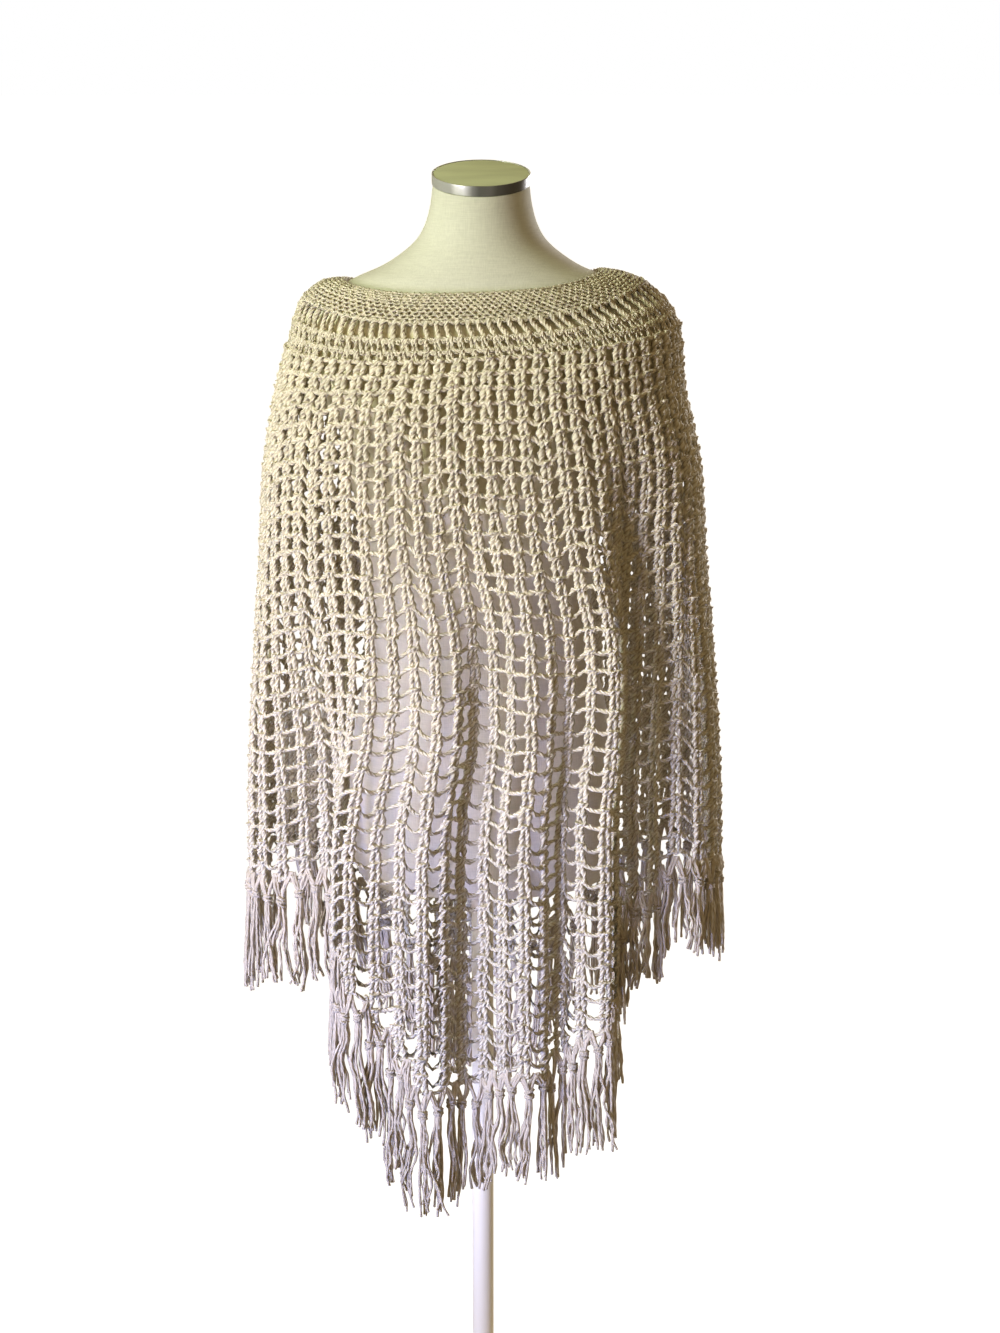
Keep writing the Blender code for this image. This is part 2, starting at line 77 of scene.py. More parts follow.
# tilt lifts the side at +X and lowers the one at -X; turn is how close to the side the back turns down
RINGS = (
    Ring(-1, -0.0093, 0.1398, 0.0800, 0.0830, 1.3285, 1.3400, 1.3290, 0.0050, 6.0),
    Ring(-0.5, -0.0091, 0.1609, 0.0890, 0.0895, 1.3165, 1.3375, 1.3165, 0.0045, 5.1),
    Ring(0, -0.0078, 0.1803, 0.0980, 0.0955, 1.3015, 1.3268, 1.3000, 0.0073, 4.5),
    Ring(1, -0.0026, 0.1973, 0.1070, 0.1020, 1.2860, 1.3060, 1.2845, 0.0110, 4.0),
    Ring(2, 0.0002, 0.2040, 0.1130, 0.1060, 1.2741, 1.2920, 1.2735, 0.0124, 3.5),
    Ring(3, 0.0010, 0.2098, 0.1170, 0.1090, 1.2652, 1.2763, 1.2640, 0.0126, 3.2),
    Ring(4, -0.0006, 0.2134, 0.1220, 0.1120, 1.2509, 1.2558, 1.2515, 0.0118, 3.2),
    Ring(6, -0.0028, 0.2198, 0.1310, 0.1180, 1.2229, 1.2140, 1.2240, 0.0090, 3.2),
    Ring(9, 0.0000, 0.2335, 0.1390, 0.1240, 1.1674, 1.1480, 1.1750, 0.0040, 3.2),
    Ring(14, 0.001, 0.2420, 0.143, 0.129, 1.0680, 1.0410, 1.0805, 0.0, 3.2),
    Ring(20, 0.003, 0.2515, 0.148, 0.135, 0.9382, 0.9126, 0.9560, 0.0, 3.2),
    Ring(26, 0.004, 0.2580, 0.152, 0.141, 0.8139, 0.7840, 0.8310, 0.0, 3.2),
    Ring(31, 0.004, 0.2605, 0.156, 0.145, 0.7120, 0.6770, 0.7280, 0.0, 3.2),
    Ring(38, 0.004, 0.2625, 0.159, 0.148, 0.5841, 0.5400, 0.5980, 0.0, 3.2),
    Ring(44, 0.004, 0.2635, 0.160, 0.150, 0.4716, 0.4250, 0.4850, 0.0, 3.2),
)

# A fold stands out (+) or in (-) of the ring by its depth once its full row is reached.
Fold = namedtuple("Fold", "column left_width right_width depth first_row full_row")
FOLDS = (
    Fold(1.7, 1.6, 1.6, 0.007, 12, 28),       # left side ridge
    Fold(5.9, 2.2, 1.6, -0.043, 13, 30),      # left recess
    Fold(9.2, 1.0, 1.3, 0.024, 12, 28),       # ridge left of the centre panel
    Fold(12.6, 1.3, 1.2, 0.018, 12, 28),      # ridge over the front point
    Fold(15.0, 1.2, 1.3, -0.020, 8, 24),      # centre valley
    Fold(17.7, 1.2, 1.0, 0.016, 9, 26),       # ridge right of the valley
    Fold(19.4, 0.9, 0.9, -0.013, 16, 28),     # narrow valley
    Fold(21.7, 1.2, 1.1, 0.022, 8, 26),       # ridge right of the centre panel
    Fold(24.6, 1.7, 2.2, -0.054, 4, 26),      # right recess
    Fold(29.2, 1.8, 1.8, 0.008, 14, 28),      # right side ridge
    Fold(35.0, 1.6, 1.6, 0.009, 13, 28),      # back, from the side at +X round to -X
    Fold(38.7, 2.0, 1.8, -0.036, 10, 28),
    Fold(42.1, 1.3, 1.5, 0.019, 12, 28),
    Fold(45.3, 1.4, 1.2, -0.019, 14, 28),
    Fold(48.4, 1.6, 1.5, 0.020, 9, 27),
    Fold(51.7, 1.3, 1.6, -0.025, 11, 27),
    Fold(55.0, 1.4, 1.4, 0.017, 13, 28),
    Fold(58.5, 1.9, 2.1, -0.040, 8, 28),
    Fold(62.1, 1.6, 1.7, 0.009, 14, 28),
)

# The row each column ends at: level at the sides, down to a point in front and behind.
Hem = namedtuple("Hem", "column last_row")
HEM = (
    Hem(0, 31.2), Hem(6, 31.5), Hem(8, 34), Hem(9, 37), Hem(11, 40.5), Hem(12.5, 44),
    Hem(16, 43.6), Hem(18.5, 42.8), Hem(22, 39), Hem(25, 34), Hem(27, 30.9), Hem(32, 30.3),
    Hem(37, 31.3), Hem(41, 36.5), Hem(45, 42), Hem(48, 44), Hem(51, 42), Hem(55, 36.5),
    Hem(59, 31.5), Hem(64, 31.2),
)

# How far the fringe hangs below the hem along it.
Drop = namedtuple("Drop", "column drop")
DROPS = (
    Drop(0, 0.131), Drop(4, 0.118), Drop(6, 0.110), Drop(9, 0.124), Drop(13, 0.134), Drop(17, 0.114),
    Drop(22, 0.120), Drop(25, 0.100), Drop(31, 0.106), Drop(36, 0.112), Drop(42, 0.122),
    Drop(48, 0.130), Drop(54, 0.118), Drop(60, 0.114), Drop(64, 0.131),
)

Section = namedtuple("Section", "z half_width front back squareness")
FORM_SECTIONS = (
    Section(0.6640, 0.1370, 0.0880, 0.0940, 2.0),
    Section(0.6710, 0.1410, 0.0910, 0.0980, 2.0),
    Section(0.7250, 0.1480, 0.1010, 0.1070, 2.0),
    Section(0.7900, 0.1490, 0.1040, 0.1110, 2.0),
    Section(0.8600, 0.1390, 0.0990, 0.1010, 2.0),
    Section(0.9200, 0.1260, 0.0940, 0.0880, 2.0),
    Section(0.9700, 0.1200, 0.0930, 0.0810, 2.0),
    Section(1.0200, 0.1230, 0.1010, 0.0820, 2.0),
    Section(1.0700, 0.1320, 0.1150, 0.0880, 2.0),
    Section(1.1150, 0.1410, 0.1270, 0.0950, 2.05),
    Section(1.1550, 0.1490, 0.1315, 0.1010, 2.1),
    Section(1.1900, 0.1600, 0.1290, 0.1060, 2.2),
    Section(1.2200, 0.1790, 0.1235, 0.1080, 2.3),
    Section(1.2450, 0.1945, 0.1165, 0.1065, 2.35),
    Section(1.2650, 0.2000, 0.1095, 0.1025, 2.35),
    Section(1.2820, 0.1990, 0.1025, 0.0965, 2.35),
    Section(1.2980, 0.1935, 0.0940, 0.0905, 2.3),
    Section(1.3110, 0.1850, 0.0860, 0.0845, 2.2),
    Section(1.3200, 0.1755, 0.0790, 0.0800, 2.1),
    Section(1.3275, 0.1625, 0.0740, 0.0765, 2.0),
    Section(1.3325, 0.1480, 0.0710, 0.0740, 2.0),
    Section(1.3410, 0.1300, 0.0690, 0.0710, 2.0),
    Section(1.3500, 0.1090, 0.0670, 0.0670, 2.0),
    Section(1.3620, 0.0890, 0.0650, 0.0620, 2.0),
    Section(1.3780, 0.0700, 0.0625, 0.0560, 2.0),
    Section(1.3950, 0.0600, 0.0610, 0.0500, 2.0),
    Section(1.4120, 0.0550, 0.0605, 0.0450, 2.0),
    Section(1.4385, 0.0512, 0.0628, 0.0388, 2.0),
)
# Painted reflections and painted shade round the brushed ring: how bright its colour is made at each
# angle, degrees from the front towards +X.
PaintedReflection = namedtuple("PaintedReflection", "angle shade")
PAINTED_REFLECTIONS = (
    PaintedReflection(-180, 0.45), PaintedReflection(-150, 0.20), PaintedReflection(-120, 0.70), PaintedReflection(-90, 0.62), PaintedReflection(-55, 0.56),
    PaintedReflection(-38, 0.52), PaintedReflection(-31, 0.84), PaintedReflection(-21, 0.86), PaintedReflection(-10, 0.30), PaintedReflection(-2, 0.16),
    PaintedReflection(12, 0.21), PaintedReflection(20, 0.14), PaintedReflection(35, 0.12), PaintedReflection(54, 0.14), PaintedReflection(64, 0.42),
    PaintedReflection(76, 0.95), PaintedReflection(90, 1.0), PaintedReflection(115, 0.35), PaintedReflection(140, 0.75), PaintedReflection(165, 0.25),
    PaintedReflection(180, 0.45),
)
NECK_FOOT = 1.350                # above this height the sections lean forward
CAP_TILT = math.radians(12.5)
CAP_CENTRE = Vector((0.0, -0.012, 1.4445))
CAP_RADIUS = 0.0525
CAP_HEIGHT = 0.011
CAP_WALL = 0.0014
CAP_PLATE_INSET = 0.0004
CAP_PLATE_THICKNESS = 0.010
GAP = 0.0003
POLE_RADIUS = 0.0125
POLE_SOCKET = 0.030
FORM_SEGMENTS = 128
FORM_LEVELS = 120
YOKE_PAINTED_LIGHT = (1.325, 1.280)      # heights from which and to which the cover is painted paler under the yoke, painted light
LOW_PAINTED_LIGHT = (1.200, 0.950)       # and under the mesh, painted light too
LUMP_LENGTH = 2.6                # length of a thick or thin stretch of yarn, in yarn radii
LOOSE_KNOTS = 4                  # places along a yarn where its own unevenness is drawn
WHITE = (1.0, 1.0, 1.0, 1.0)


# ---- smooth reading of the tables ----
def read_smooth(rows, key, name, at):
    """A named column of a table at any key, on cubics through its rows with even slopes."""
    keys = np.array([getattr(row, key) for row in rows], float)
    values = np.array([getattr(row, name) for row in rows], float)
    slopes = np.gradient(values, keys)
    at = np.clip(at, keys[0], keys[-1])
    low = np.clip(np.searchsorted(keys, at, side="right") - 1, 0, len(keys) - 2)
    span = keys[low + 1] - keys[low]
    t = (at - keys[low]) / span
    start = values[low] * (2 * t ** 3 - 3 * t ** 2 + 1) + slopes[low] * span * (t ** 3 - 2 * t ** 2 + t)
    end = values[low + 1] * (3 * t ** 2 - 2 * t ** 3) + slopes[low + 1] * span * (t ** 3 - t ** 2)
    return start + end


def smooth_step(value):
    """0 below 0, 1 above 1, with level ends."""
    value = np.clip(value, 0.0, 1.0)
    return value * value * (3.0 - 2.0 * value)


def grown(row, change):
    """How far a change has come at a row, from 0 to 1."""
    return smooth_step((row - change.first_row) / (change.full_row - change.first_row))


def squared(values, power):
    """Cosines or sines drawn out towards a squarer ring."""
    return np.copysign(np.abs(values) ** power, values)


# ---- the draped cloth ----
def fold_depth(columns, row):
    """How far the folds move each column out of its ring at a row."""
    depth = np.zeros_like(columns)
    for fold in FOLDS:
        away = (columns - fold.column + HALF) % COLUMNS - HALF
        width = np.where(away < 0.0, fold.left_width, fold.right_width)
        depth += fold.depth * grown(row, fold) * np.exp(-(away / width) ** 2)
    return depth


def ring_plan(ring, angle):
    """Points of a plain ring in plan; angle runs from -X over the front to +X and back."""
    cosine = np.cos(angle)
    sine = np.sin(angle)
    power = 2.0 / SQUARENESS
    in_front = sine >= 0.0
    x = ring.x_centre - ring.half_width * squared(cosine, power)
    y = -np.where(in_front, ring.front_depth, ring.back_depth) * squared(sine, power)
    centre_z = np.where(in_front, ring.front_z, ring.back_z)
    level = 1.0 - np.abs(cosine) ** (power * np.where(in_front, FRONT_TURN, ring.turn))
    side_z = ring.side_z + ring.tilt * (x - ring.x_centre) / ring.half_width
    return np.stack([x, y, side_z + (centre_z - ring.side_z) * level], axis=-1)


def half_ring(row, first_column):
    """Columns and their points along the front half (first column 0) or the back of a row."""
    ring = Ring(row, *(float(read_smooth(RINGS, "row", name, row)) for name in Ring._fields[1:]))
    angle = math.pi * first_column / HALF + np.linspace(0.0, math.pi, 4 * RING_STEPS + 1)
    pieces = np.linalg.norm(np.diff(ring_plan(ring, angle)[:, :2], axis=0), axis=1)
    along = np.concatenate([[0.0], np.cumsum(pieces)])
    columns = first_column + np.linspace(0.0, HALF, RING_STEPS + 1)
    depth = fold_depth(columns, row)
    slope = np.gradient(depth, columns)
    narrow, wide = (limit * along[-1] / HALF for limit in WIDTH_LIMITS)
    for _ in range(WIDTH_HALVINGS):
        width = 0.5 * (narrow + wide)
        rate = np.sqrt(np.maximum(width ** 2 - slope ** 2, (TIGHTEST * width) ** 2))
        steps = 0.5 * (rate[1:] + rate[:-1]) * np.diff(columns)
        if steps.sum() > along[-1]:
            wide = width
        else:
            narrow = width
    reach = np.concatenate([[0.0], np.cumsum(steps)])
    reach *= along[-1] / reach[-1]
    at = np.interp(reach, along, angle)
    points = ring_plan(ring, at)
    ahead = ring_plan(ring, at + NEAR_ANGLE) - ring_plan(ring, at - NEAR_ANGLE)
    outward = np.stack([-ahead[:, 1], ahead[:, 0]], axis=-1)
    outward /= -np.linalg.norm(outward, axis=1, keepdims=True)
    points[:, :2] += outward * depth[:, None]
    return columns, points


def drape():
    """Points and outward normals of the cloth, every ROW_STEP rows and COLUMN_STEP columns."""
    rows = np.arange(NECK_ROW, POINT_ROW + 0.5 * ROW_STEP, ROW_STEP)
    columns = np.arange(0.0, COLUMNS, COLUMN_STEP)
    points = np.empty((len(rows), len(columns), 3))
    for place, row in enumerate(rows):
        for first_column in (0, HALF):
            known, half_points = half_ring(row, first_column)
            half = (columns >= first_column) & (columns < first_column + HALF)
            for axis in range(3):
                points[place, half, axis] = np.interp(columns[half], known, half_points[:, axis])
    down = np.gradient(points, axis=0)
    across = np.roll(points, -1, axis=1) - np.roll(points, 1, axis=1)
    outward = np.cross(down, across)
    outward /= np.linalg.norm(outward, axis=2, keepdims=True)
    return points, outward


CLOTH_POINTS, CLOTH_NORMALS = drape()


def on_cloth(columns, rows, lift=0.0):
    """Places on the cloth at any columns and rows, lifted outward."""
    down = np.clip((rows - NECK_ROW) / ROW_STEP, 0.0, len(CLOTH_POINTS) - 1.001)
    across = np.mod(columns, COLUMNS) / COLUMN_STEP
    upper = down.astype(int)
    left = across.astype(int) % CLOTH_POINTS.shape[1]
    right = (left + 1) % CLOTH_POINTS.shape[1]
    t = (down - upper)[..., None]
    s = (across - np.floor(across))[..., None]

    def blend(table):
        top = table[upper, left] * (1 - s) + table[upper, right] * s
        foot = table[upper + 1, left] * (1 - s) + table[upper + 1, right] * s
        return top * (1 - t) + foot * t
    return blend(CLOTH_POINTS) + blend(CLOTH_NORMALS) * np.broadcast_to(lift, columns.shape)[..., None]


def hem_row(column):
    """The last whole row that a stitch column has."""
    last = float(read_smooth(HEM, "column", "last_row", (column + 0.5) % COLUMNS))
    return min(int(round(last)), POINT_ROW)


def cut_size(first_column, last_column, first_row, last_rows):
    """Flat width, length and area of a stretch of cloth before it was hung, as it doesn't stretch."""
    per_column = int(1 / COLUMN_STEP)
    per_row = int(1 / ROW_STEP)
    around = CLOTH_POINTS.shape[1]
    area = 0.0
    widths = {}
    lengths = []
    for column in range(first_column, last_column):
        left = column * per_column
        middle = (left + per_column // 2) % around
        length = 0.0
        for line in range((first_row - NECK_ROW) * per_row, (last_rows(column) - NECK_ROW) * per_row):
            marks = [CLOTH_POINTS[line, (left + step) % around] for step in range(per_column + 1)]
            width = float(np.linalg.norm(np.diff(marks, axis=0), axis=1).sum())
            height = float(np.linalg.norm(CLOTH_POINTS[line + 1, middle] - CLOTH_POINTS[line, middle]))
            area += width * height
            length += height
            widths[line] = widths.get(line, 0.0) + width
        lengths.append(length)
    return max(widths.values()), max(lengths), area


# ---- nodes ----
def linear(code):
    """An sRGB hex colour as linear RGBA."""
    parts = (int(code.lstrip("#")[place:place + 2], 16) / 255.0 for place in (0, 2, 4))
    return (*(part / 12.92 if part <= 0.04045 else ((part + 0.055) / 1.055) ** 2.4 for part in parts), 1.0)


def feed(tree, node, inputs):
    """Fill a node's inputs, each with a value, a socket, or the first output of another node."""
    for name, value in inputs.items():
        if isinstance(value, bpy.types.Node):
            value = value.outputs[0]
        if isinstance(value, bpy.types.NodeSocket):
            tree.links.new(value, node.inputs[name])
        else:
            node.inputs[name].default_value = value


def add_node(tree, kind, inputs=None, **settings):
    """One node with its settings and links."""
    made = tree.nodes.new(kind)
    for name, value in settings.items():
        setattr(made, name, value)
    feed(tree, made, inputs or {})
    return made


def yarn_tree():
    """A tree that sweeps edge paths into yarn: an oval section that turns along the path."""
    tree = bpy.data.node_groups.new("wound_yarn", "GeometryNodeTree")
    tree.interface.new_socket("Yarn", in_out="OUTPUT", socket_type="NodeSocketGeometry")
    for name, kind in (("Paths", "Geometry"), ("Radius", "Float"), ("Flatness", "Float"),
                       ("Sides", "Int"), ("Unevenness", "Float"), ("Lump", "Float"), ("Seed", "Float"),
                       ("Finish", "Material")):
        tree.interface.new_socket(name, in_out="INPUT", socket_type="NodeSocket" + kind)
    given = add_node(tree, "NodeGroupInput").outputs
    paths = add_node(tree, "GeometryNodeMeshToCurve", {"Mesh": given["Paths"]})
    turn, thick = (add_node(tree, "GeometryNodeInputNamedAttribute", {"Name": name}, data_type="FLOAT")
                   for name in ("turn", "thick"))
    pitch = add_node(tree, "ShaderNodeMath", {0: 1.0, 1: given["Lump"]}, operation="DIVIDE")
    noise = add_node(tree, "ShaderNodeTexNoise", {"W": given["Seed"], "Scale": pitch, "Detail": 1.0},
                     noise_dimensions="4D")
    centred = add_node(tree, "ShaderNodeMath", {0: noise, 1: 0.5}, operation="SUBTRACT")
    swell = add_node(tree, "ShaderNodeMath", {0: centred, 1: given["Unevenness"], 2: 1.0},
                     operation="MULTIPLY_ADD")
    scale = add_node(tree, "ShaderNodeMath", {0: swell, 1: thick}, operation="MULTIPLY")
    tilted = add_node(tree, "GeometryNodeSetCurveTilt", {"Curve": paths, "Tilt": turn})
    circle = add_node(tree, "GeometryNodeCurvePrimitiveCircle",
                      {"Resolution": given["Sides"], "Radius": given["Radius"]})
    place = add_node(tree, "GeometryNodeInputPosition")
    direction = add_node(tree, "ShaderNodeVectorMath", {0: place}, operation="NORMALIZE")
    marked = add_node(tree, "GeometryNodeStoreNamedAttribute",
                      {"Geometry": circle, "Name": "around", "Value": direction}, data_type="FLOAT_VECTOR")
    across = add_node(tree, "ShaderNodeCombineXYZ", {0: 1.0, 1: given["Flatness"], 2: 1.0})
    section = add_node(tree, "GeometryNodeTransform", {"Geometry": marked, "Scale": across})
    swept = add_node(tree, "GeometryNodeCurveToMesh",
                     {"Curve": tilted, "Profile Curve": section, "Scale": scale, "Fill Caps": True})
    smooth = add_node(tree, "GeometryNodeSetShadeSmooth", {"Geometry": swept})
    real = add_node(tree, "GeometryNodeRealizeInstances", {"Geometry": smooth})
    finished = add_node(tree, "GeometryNodeSetMaterial", {"Geometry": real, "Material": given["Finish"]})
    add_node(tree, "NodeGroupOutput", {"Yarn": finished})
    return tree


# ---- meshes ----
def add_object(name, data):
    """A new object of the scene."""
    made = bpy.data.objects.new(name, data)
    bpy.context.scene.collection.objects.link(made)
    return made


def add_mesh(name, mesh_data, finish, smooth_angle=50.0):
    """Write a bmesh to a new piece, smooth but for its sharp rims."""
    bmesh.ops.recalc_face_normals(mesh_data, faces=mesh_data.faces[:])
    mesh = bpy.data.meshes.new(name)
    mesh_data.to_mesh(mesh)
    mesh_data.free()
    mesh.shade_smooth()
    mesh.set_sharp_from_angle(angle=math.radians(smooth_angle))
    mesh.materials.append(finish)
    return add_object(name, mesh)


def bridge(mesh_data, upper, lower):
    """Faces between two rings of the same count."""
    for step in range(len(upper)):
        following = (step + 1) % len(upper)
        mesh_data.faces.new((upper[step], lower[step], lower[following], upper[following]))


# ---- yarn ----
Yarn = namedtuple("Yarn", "points thick turn tone closed")


def lay_yarn(points, thick, twist, rng, closed=False):
    """Yarns along points, one row each: their swell, their twist and a shade of their own."""
    thick = np.broadcast_to(thick, points.shape[:2])
    steps = np.linalg.norm(np.diff(points, axis=1), axis=2)
    along = np.concatenate([np.zeros((len(points), 1)), np.cumsum(steps, axis=1)], axis=1)
    turn = 2.0 * math.pi * along / twist
    if closed:
        whole = along[:, -1:] + np.linalg.norm(points[:, :1] - points[:, -1:], axis=2)
        turn = 2.0 * math.pi * along / whole * np.round(whole / twist)
    turn = turn + rng.uniform(0.0, 2.0 * math.pi, (len(points), 1))
    tone = np.broadcast_to(rng.uniform(0.0, 1.0, (len(points), 1)), points.shape[:2])
    return Yarn(points, thick, turn, tone, closed)


def lay_on_cloth(columns, rows, lift, thick, twist, rng, closed=False):
    """Yarns along columns and rows of the cloth, one row each, or a single one."""
    columns, rows, lift, thick = (np.atleast_2d(given) for given in (columns, rows, lift, thick))
    return lay_yarn(on_cloth(columns, rows, lift), thick, twist, rng, closed)


def paths_mesh(name, yarns):
    """Every yarn's path as edges of one mesh, with its swell, twist and shade on its points."""
    mesh = bpy.data.meshes.new(name)
    edges = []
    first = 0
    for yarn in yarns:
        count, length = yarn.points.shape[:2]
        index = first + np.arange(count * length).reshape(count, length)
        edges.append(np.stack([index[:, :-1], index[:, 1:]], axis=-1).reshape(-1, 2))
        if yarn.closed:
            edges.append(np.stack([index[:, -1], index[:, 0]], axis=-1))
        first += count * length
    edges = np.concatenate(edges)
    mesh.vertices.add(first)
    mesh.edges.add(len(edges))
    places = np.concatenate([yarn.points.reshape(-1, 3) for yarn in yarns])
    mesh.vertices.foreach_set("co", places.astype(np.float32).ravel())
    mesh.edges.foreach_set("vertices", edges.astype(np.int32).ravel())
    for key in ("thick", "turn", "tone"):
        values = np.concatenate([getattr(yarn, key).ravel() for yarn in yarns])
        mesh.attributes.new(key, "FLOAT", "POINT").data.foreach_set("value", values.astype(np.float32))
    mesh.update()
    return mesh


def spin(name, yarns, finish, radius, flatness, sides, unevenness, seed):
    """A plain mesh piece of the yarns, swept by the yarn tree."""
    tree = bpy.data.node_groups.get("wound_yarn") or yarn_tree()
    guide = add_object(name + "_paths", paths_mesh(name + "_paths", yarns))
    modifier = guide.modifiers.new("yarn", "NODES")
    modifier.node_group = tree
    values = {"Radius": radius, "Flatness": flatness, "Sides": sides, "Unevenness": unevenness,
              "Lump": LUMP_LENGTH * radius, "Seed": float(seed), "Finish": finish}
    for item in tree.interface.items_tree:
        if item.in_out == "INPUT" and item.name in values:
            modifier[item.identifier] = values[item.name]
    evaluated = guide.evaluated_get(bpy.context.evaluated_depsgraph_get())
    mesh = bpy.data.meshes.new_from_object(evaluated)
    bpy.data.objects.remove(guide, do_unlink=True)
    mesh.name = name
    if not len(mesh.polygons):
        raise RuntimeError(f"{name} came out empty")
    return add_object(name, mesh)


# ---- materials ----
def new_material(name):
    """A new material, its node tree, its Principled shader and the piece's own coordinates."""
    made = bpy.data.materials.new(name)
    made.use_nodes = True
    tree = made.node_tree
    place = add_node(tree, "ShaderNodeTexCoord").outputs["Object"]
    return made, tree, tree.nodes["Principled BSDF"], place


def yarn_material(name, colour, groove_shade_colour, strands, strand_turns, depth=1.0):
    """Undyed mercerised cotton yarn: strands wound round each other, faintly glossy, with loose fibres all
    over. The slanting grooves between the strands are painted brown as painted shade, so that the crests
    look bright. The grooves are drawn 6 mm apart, coarser than the real 4 mm, so that they show."""
    made, tree, shader, place = new_material(name)
    around, turn, tone = (add_node(tree, "ShaderNodeAttribute", attribute_name=key).outputs
                          for key in ("around", "turn", "tone"))
    sides = add_node(tree, "ShaderNodeSeparateXYZ", {0: around["Vector"]}).outputs
    angle = add_node(tree, "ShaderNodeMath", {0: sides["Y"], 1: sides["X"]}, operation="ARCTAN2")
    wound = add_node(tree, "ShaderNodeMath", {0: turn["Fac"], 1: strand_turns}, operation="MULTIPLY")
    phase = add_node(tree, "ShaderNodeMath", {0: angle, 1: strands, 2: wound}, operation="MULTIPLY_ADD")
    strand = add_node(tree, "ShaderNodeMath", {0: phase}, operation="SINE")
    cloud = add_node(tree, "ShaderNodeTexNoise", {"Vector": place, "Scale": 60.0, "Detail": 3.0})
    fibre = add_node(tree, "ShaderNodeTexNoise", {"Vector": place, "Scale": 900.0, "Detail": 2.0,
                                                  "Roughness": 0.6})
    # Painted shade: the grooves between the strands get the groove colour.
    groove_shade_mask = add_node(tree, "ShaderNodeMapRange", {"Value": strand, "From Min": -0.20, "From Max": -0.95,
                                                 "To Max": depth}, interpolation_type="SMOOTHSTEP")
    shade = add_node(tree, "ShaderNodeMath", {0: cloud, 1: tone["Fac"]}, operation="ADD")
    light = add_node(tree, "ShaderNodeMapRange", {"Value": shade, "From Min": 0.3, "From Max": 1.7,
                                                  "To Min": 0.86, "To Max": 1.06})
    plain = add_node(tree, "ShaderNodeMix", {"Factor": groove_shade_mask, 6: linear(colour), 7: linear(groove_shade_colour)},
                     data_type="RGBA")
    wear_and_painted_light = add_node(tree, "ShaderNodeVectorMath", {0: plain.outputs[2], "Scale": light}, operation="SCALE")
    height = add_node(tree, "ShaderNodeMath", {0: strand, 1: 0.6, 2: fibre}, operation="MULTIPLY_ADD")
    bump = add_node(tree, "ShaderNodeBump", {"Height": height, "Strength": 0.9,
                                             "Distance": 0.0012 * depth})
    feed(tree, shader, {"Base Color": wear_and_painted_light, "Normal": bump, "Roughness": 0.80, "Specular IOR Level": 0.22,
                        "Sheen Weight": 0.20, "Sheen Roughness": 0.5})
    return made


def jersey_material(colour, yoke_painted_light_colour, low_painted_light_colour):
    """Cotton jersey stretched over the form: matt, with fine upright wales, in its own pale colour where
    it is bare. Under the poncho its colour is painted paler, painted light, most of all low down. The
    wales and threads are drawn at 1.6 mm, coarser than the real 0.6 mm, so that they show."""
    made, tree, shader, place = new_material("stretched_cotton_jersey")
    parts = add_node(tree, "ShaderNodeSeparateXYZ", {0: place}).outputs
    angle = add_node(tree, "ShaderNodeMath", {0: parts["Y"], 1: parts["X"]}, operation="ARCTAN2")
    wale = add_node(tree, "ShaderNodeMath", {0: angle, 1: 320.0}, operation="MULTIPLY")
    wave = add_node(tree, "ShaderNodeMath", {0: wale}, operation="SINE")
    fleck = add_node(tree, "ShaderNodeTexNoise", {"Vector": place, "Scale": 420.0, "Detail": 3.0})
    cloud = add_node(tree, "ShaderNodeTexNoise", {"Vector": place, "Scale": 9.0, "Detail": 2.0})
    height = add_node(tree, "ShaderNodeMath", {0: wave, 1: 0.25, 2: fleck}, operation="MULTIPLY_ADD")
    bump = add_node(tree, "ShaderNodeBump", {"Height": height, "Strength": 0.25, "Distance": 0.0004})
    stretched = (add_node(tree, "ShaderNodeMapping", {"Vector": place, "Scale": scale})
                 for scale in ((900.0, 900.0, 70.0), (70.0, 70.0, 900.0)))
    upright, level = [add_node(tree, "ShaderNodeTexNoise", {"Vector": way, "Scale": 1.0})
                      for way in stretched]
    threads = add_node(tree, "ShaderNodeMath", {0: upright, 1: level}, operation="ADD")
    uneven = add_node(tree, "ShaderNodeMath", {0: cloud, 1: 0.35, 2: threads}, operation="MULTIPLY_ADD")
    light = add_node(tree, "ShaderNodeMapRange", {"Value": uneven, "From Min": 0.85, "From Max": 1.5,
                                                  "To Min": 0.91, "To Max": 1.07})
    cloth = linear(colour)
    # Painted light: the cover is painted paler under the yoke and under the mesh.
    for under, (top, foot) in ((yoke_painted_light_colour, YOKE_PAINTED_LIGHT), (low_painted_light_colour, LOW_PAINTED_LIGHT)):
        painted_light_share = add_node(tree, "ShaderNodeMapRange", {"Value": parts["Z"], "From Min": top,
                                                        "From Max": foot}, interpolation_type="SMOOTHSTEP")
        cloth = add_node(tree, "ShaderNodeMix", {"Factor": painted_light_share, 6: cloth, 7: linear(under)},
                         data_type="RGBA").outputs[2]
    wear_and_painted_light = add_node(tree, "ShaderNodeVectorMath", {0: cloth, "Scale": light}, operation="SCALE")
    feed(tree, shader, {"Base Color": wear_and_painted_light, "Normal": bump, "Roughness": 0.9, "Specular IOR Level": 0.25,
                        "Sheen Weight": 0.15})
    return made


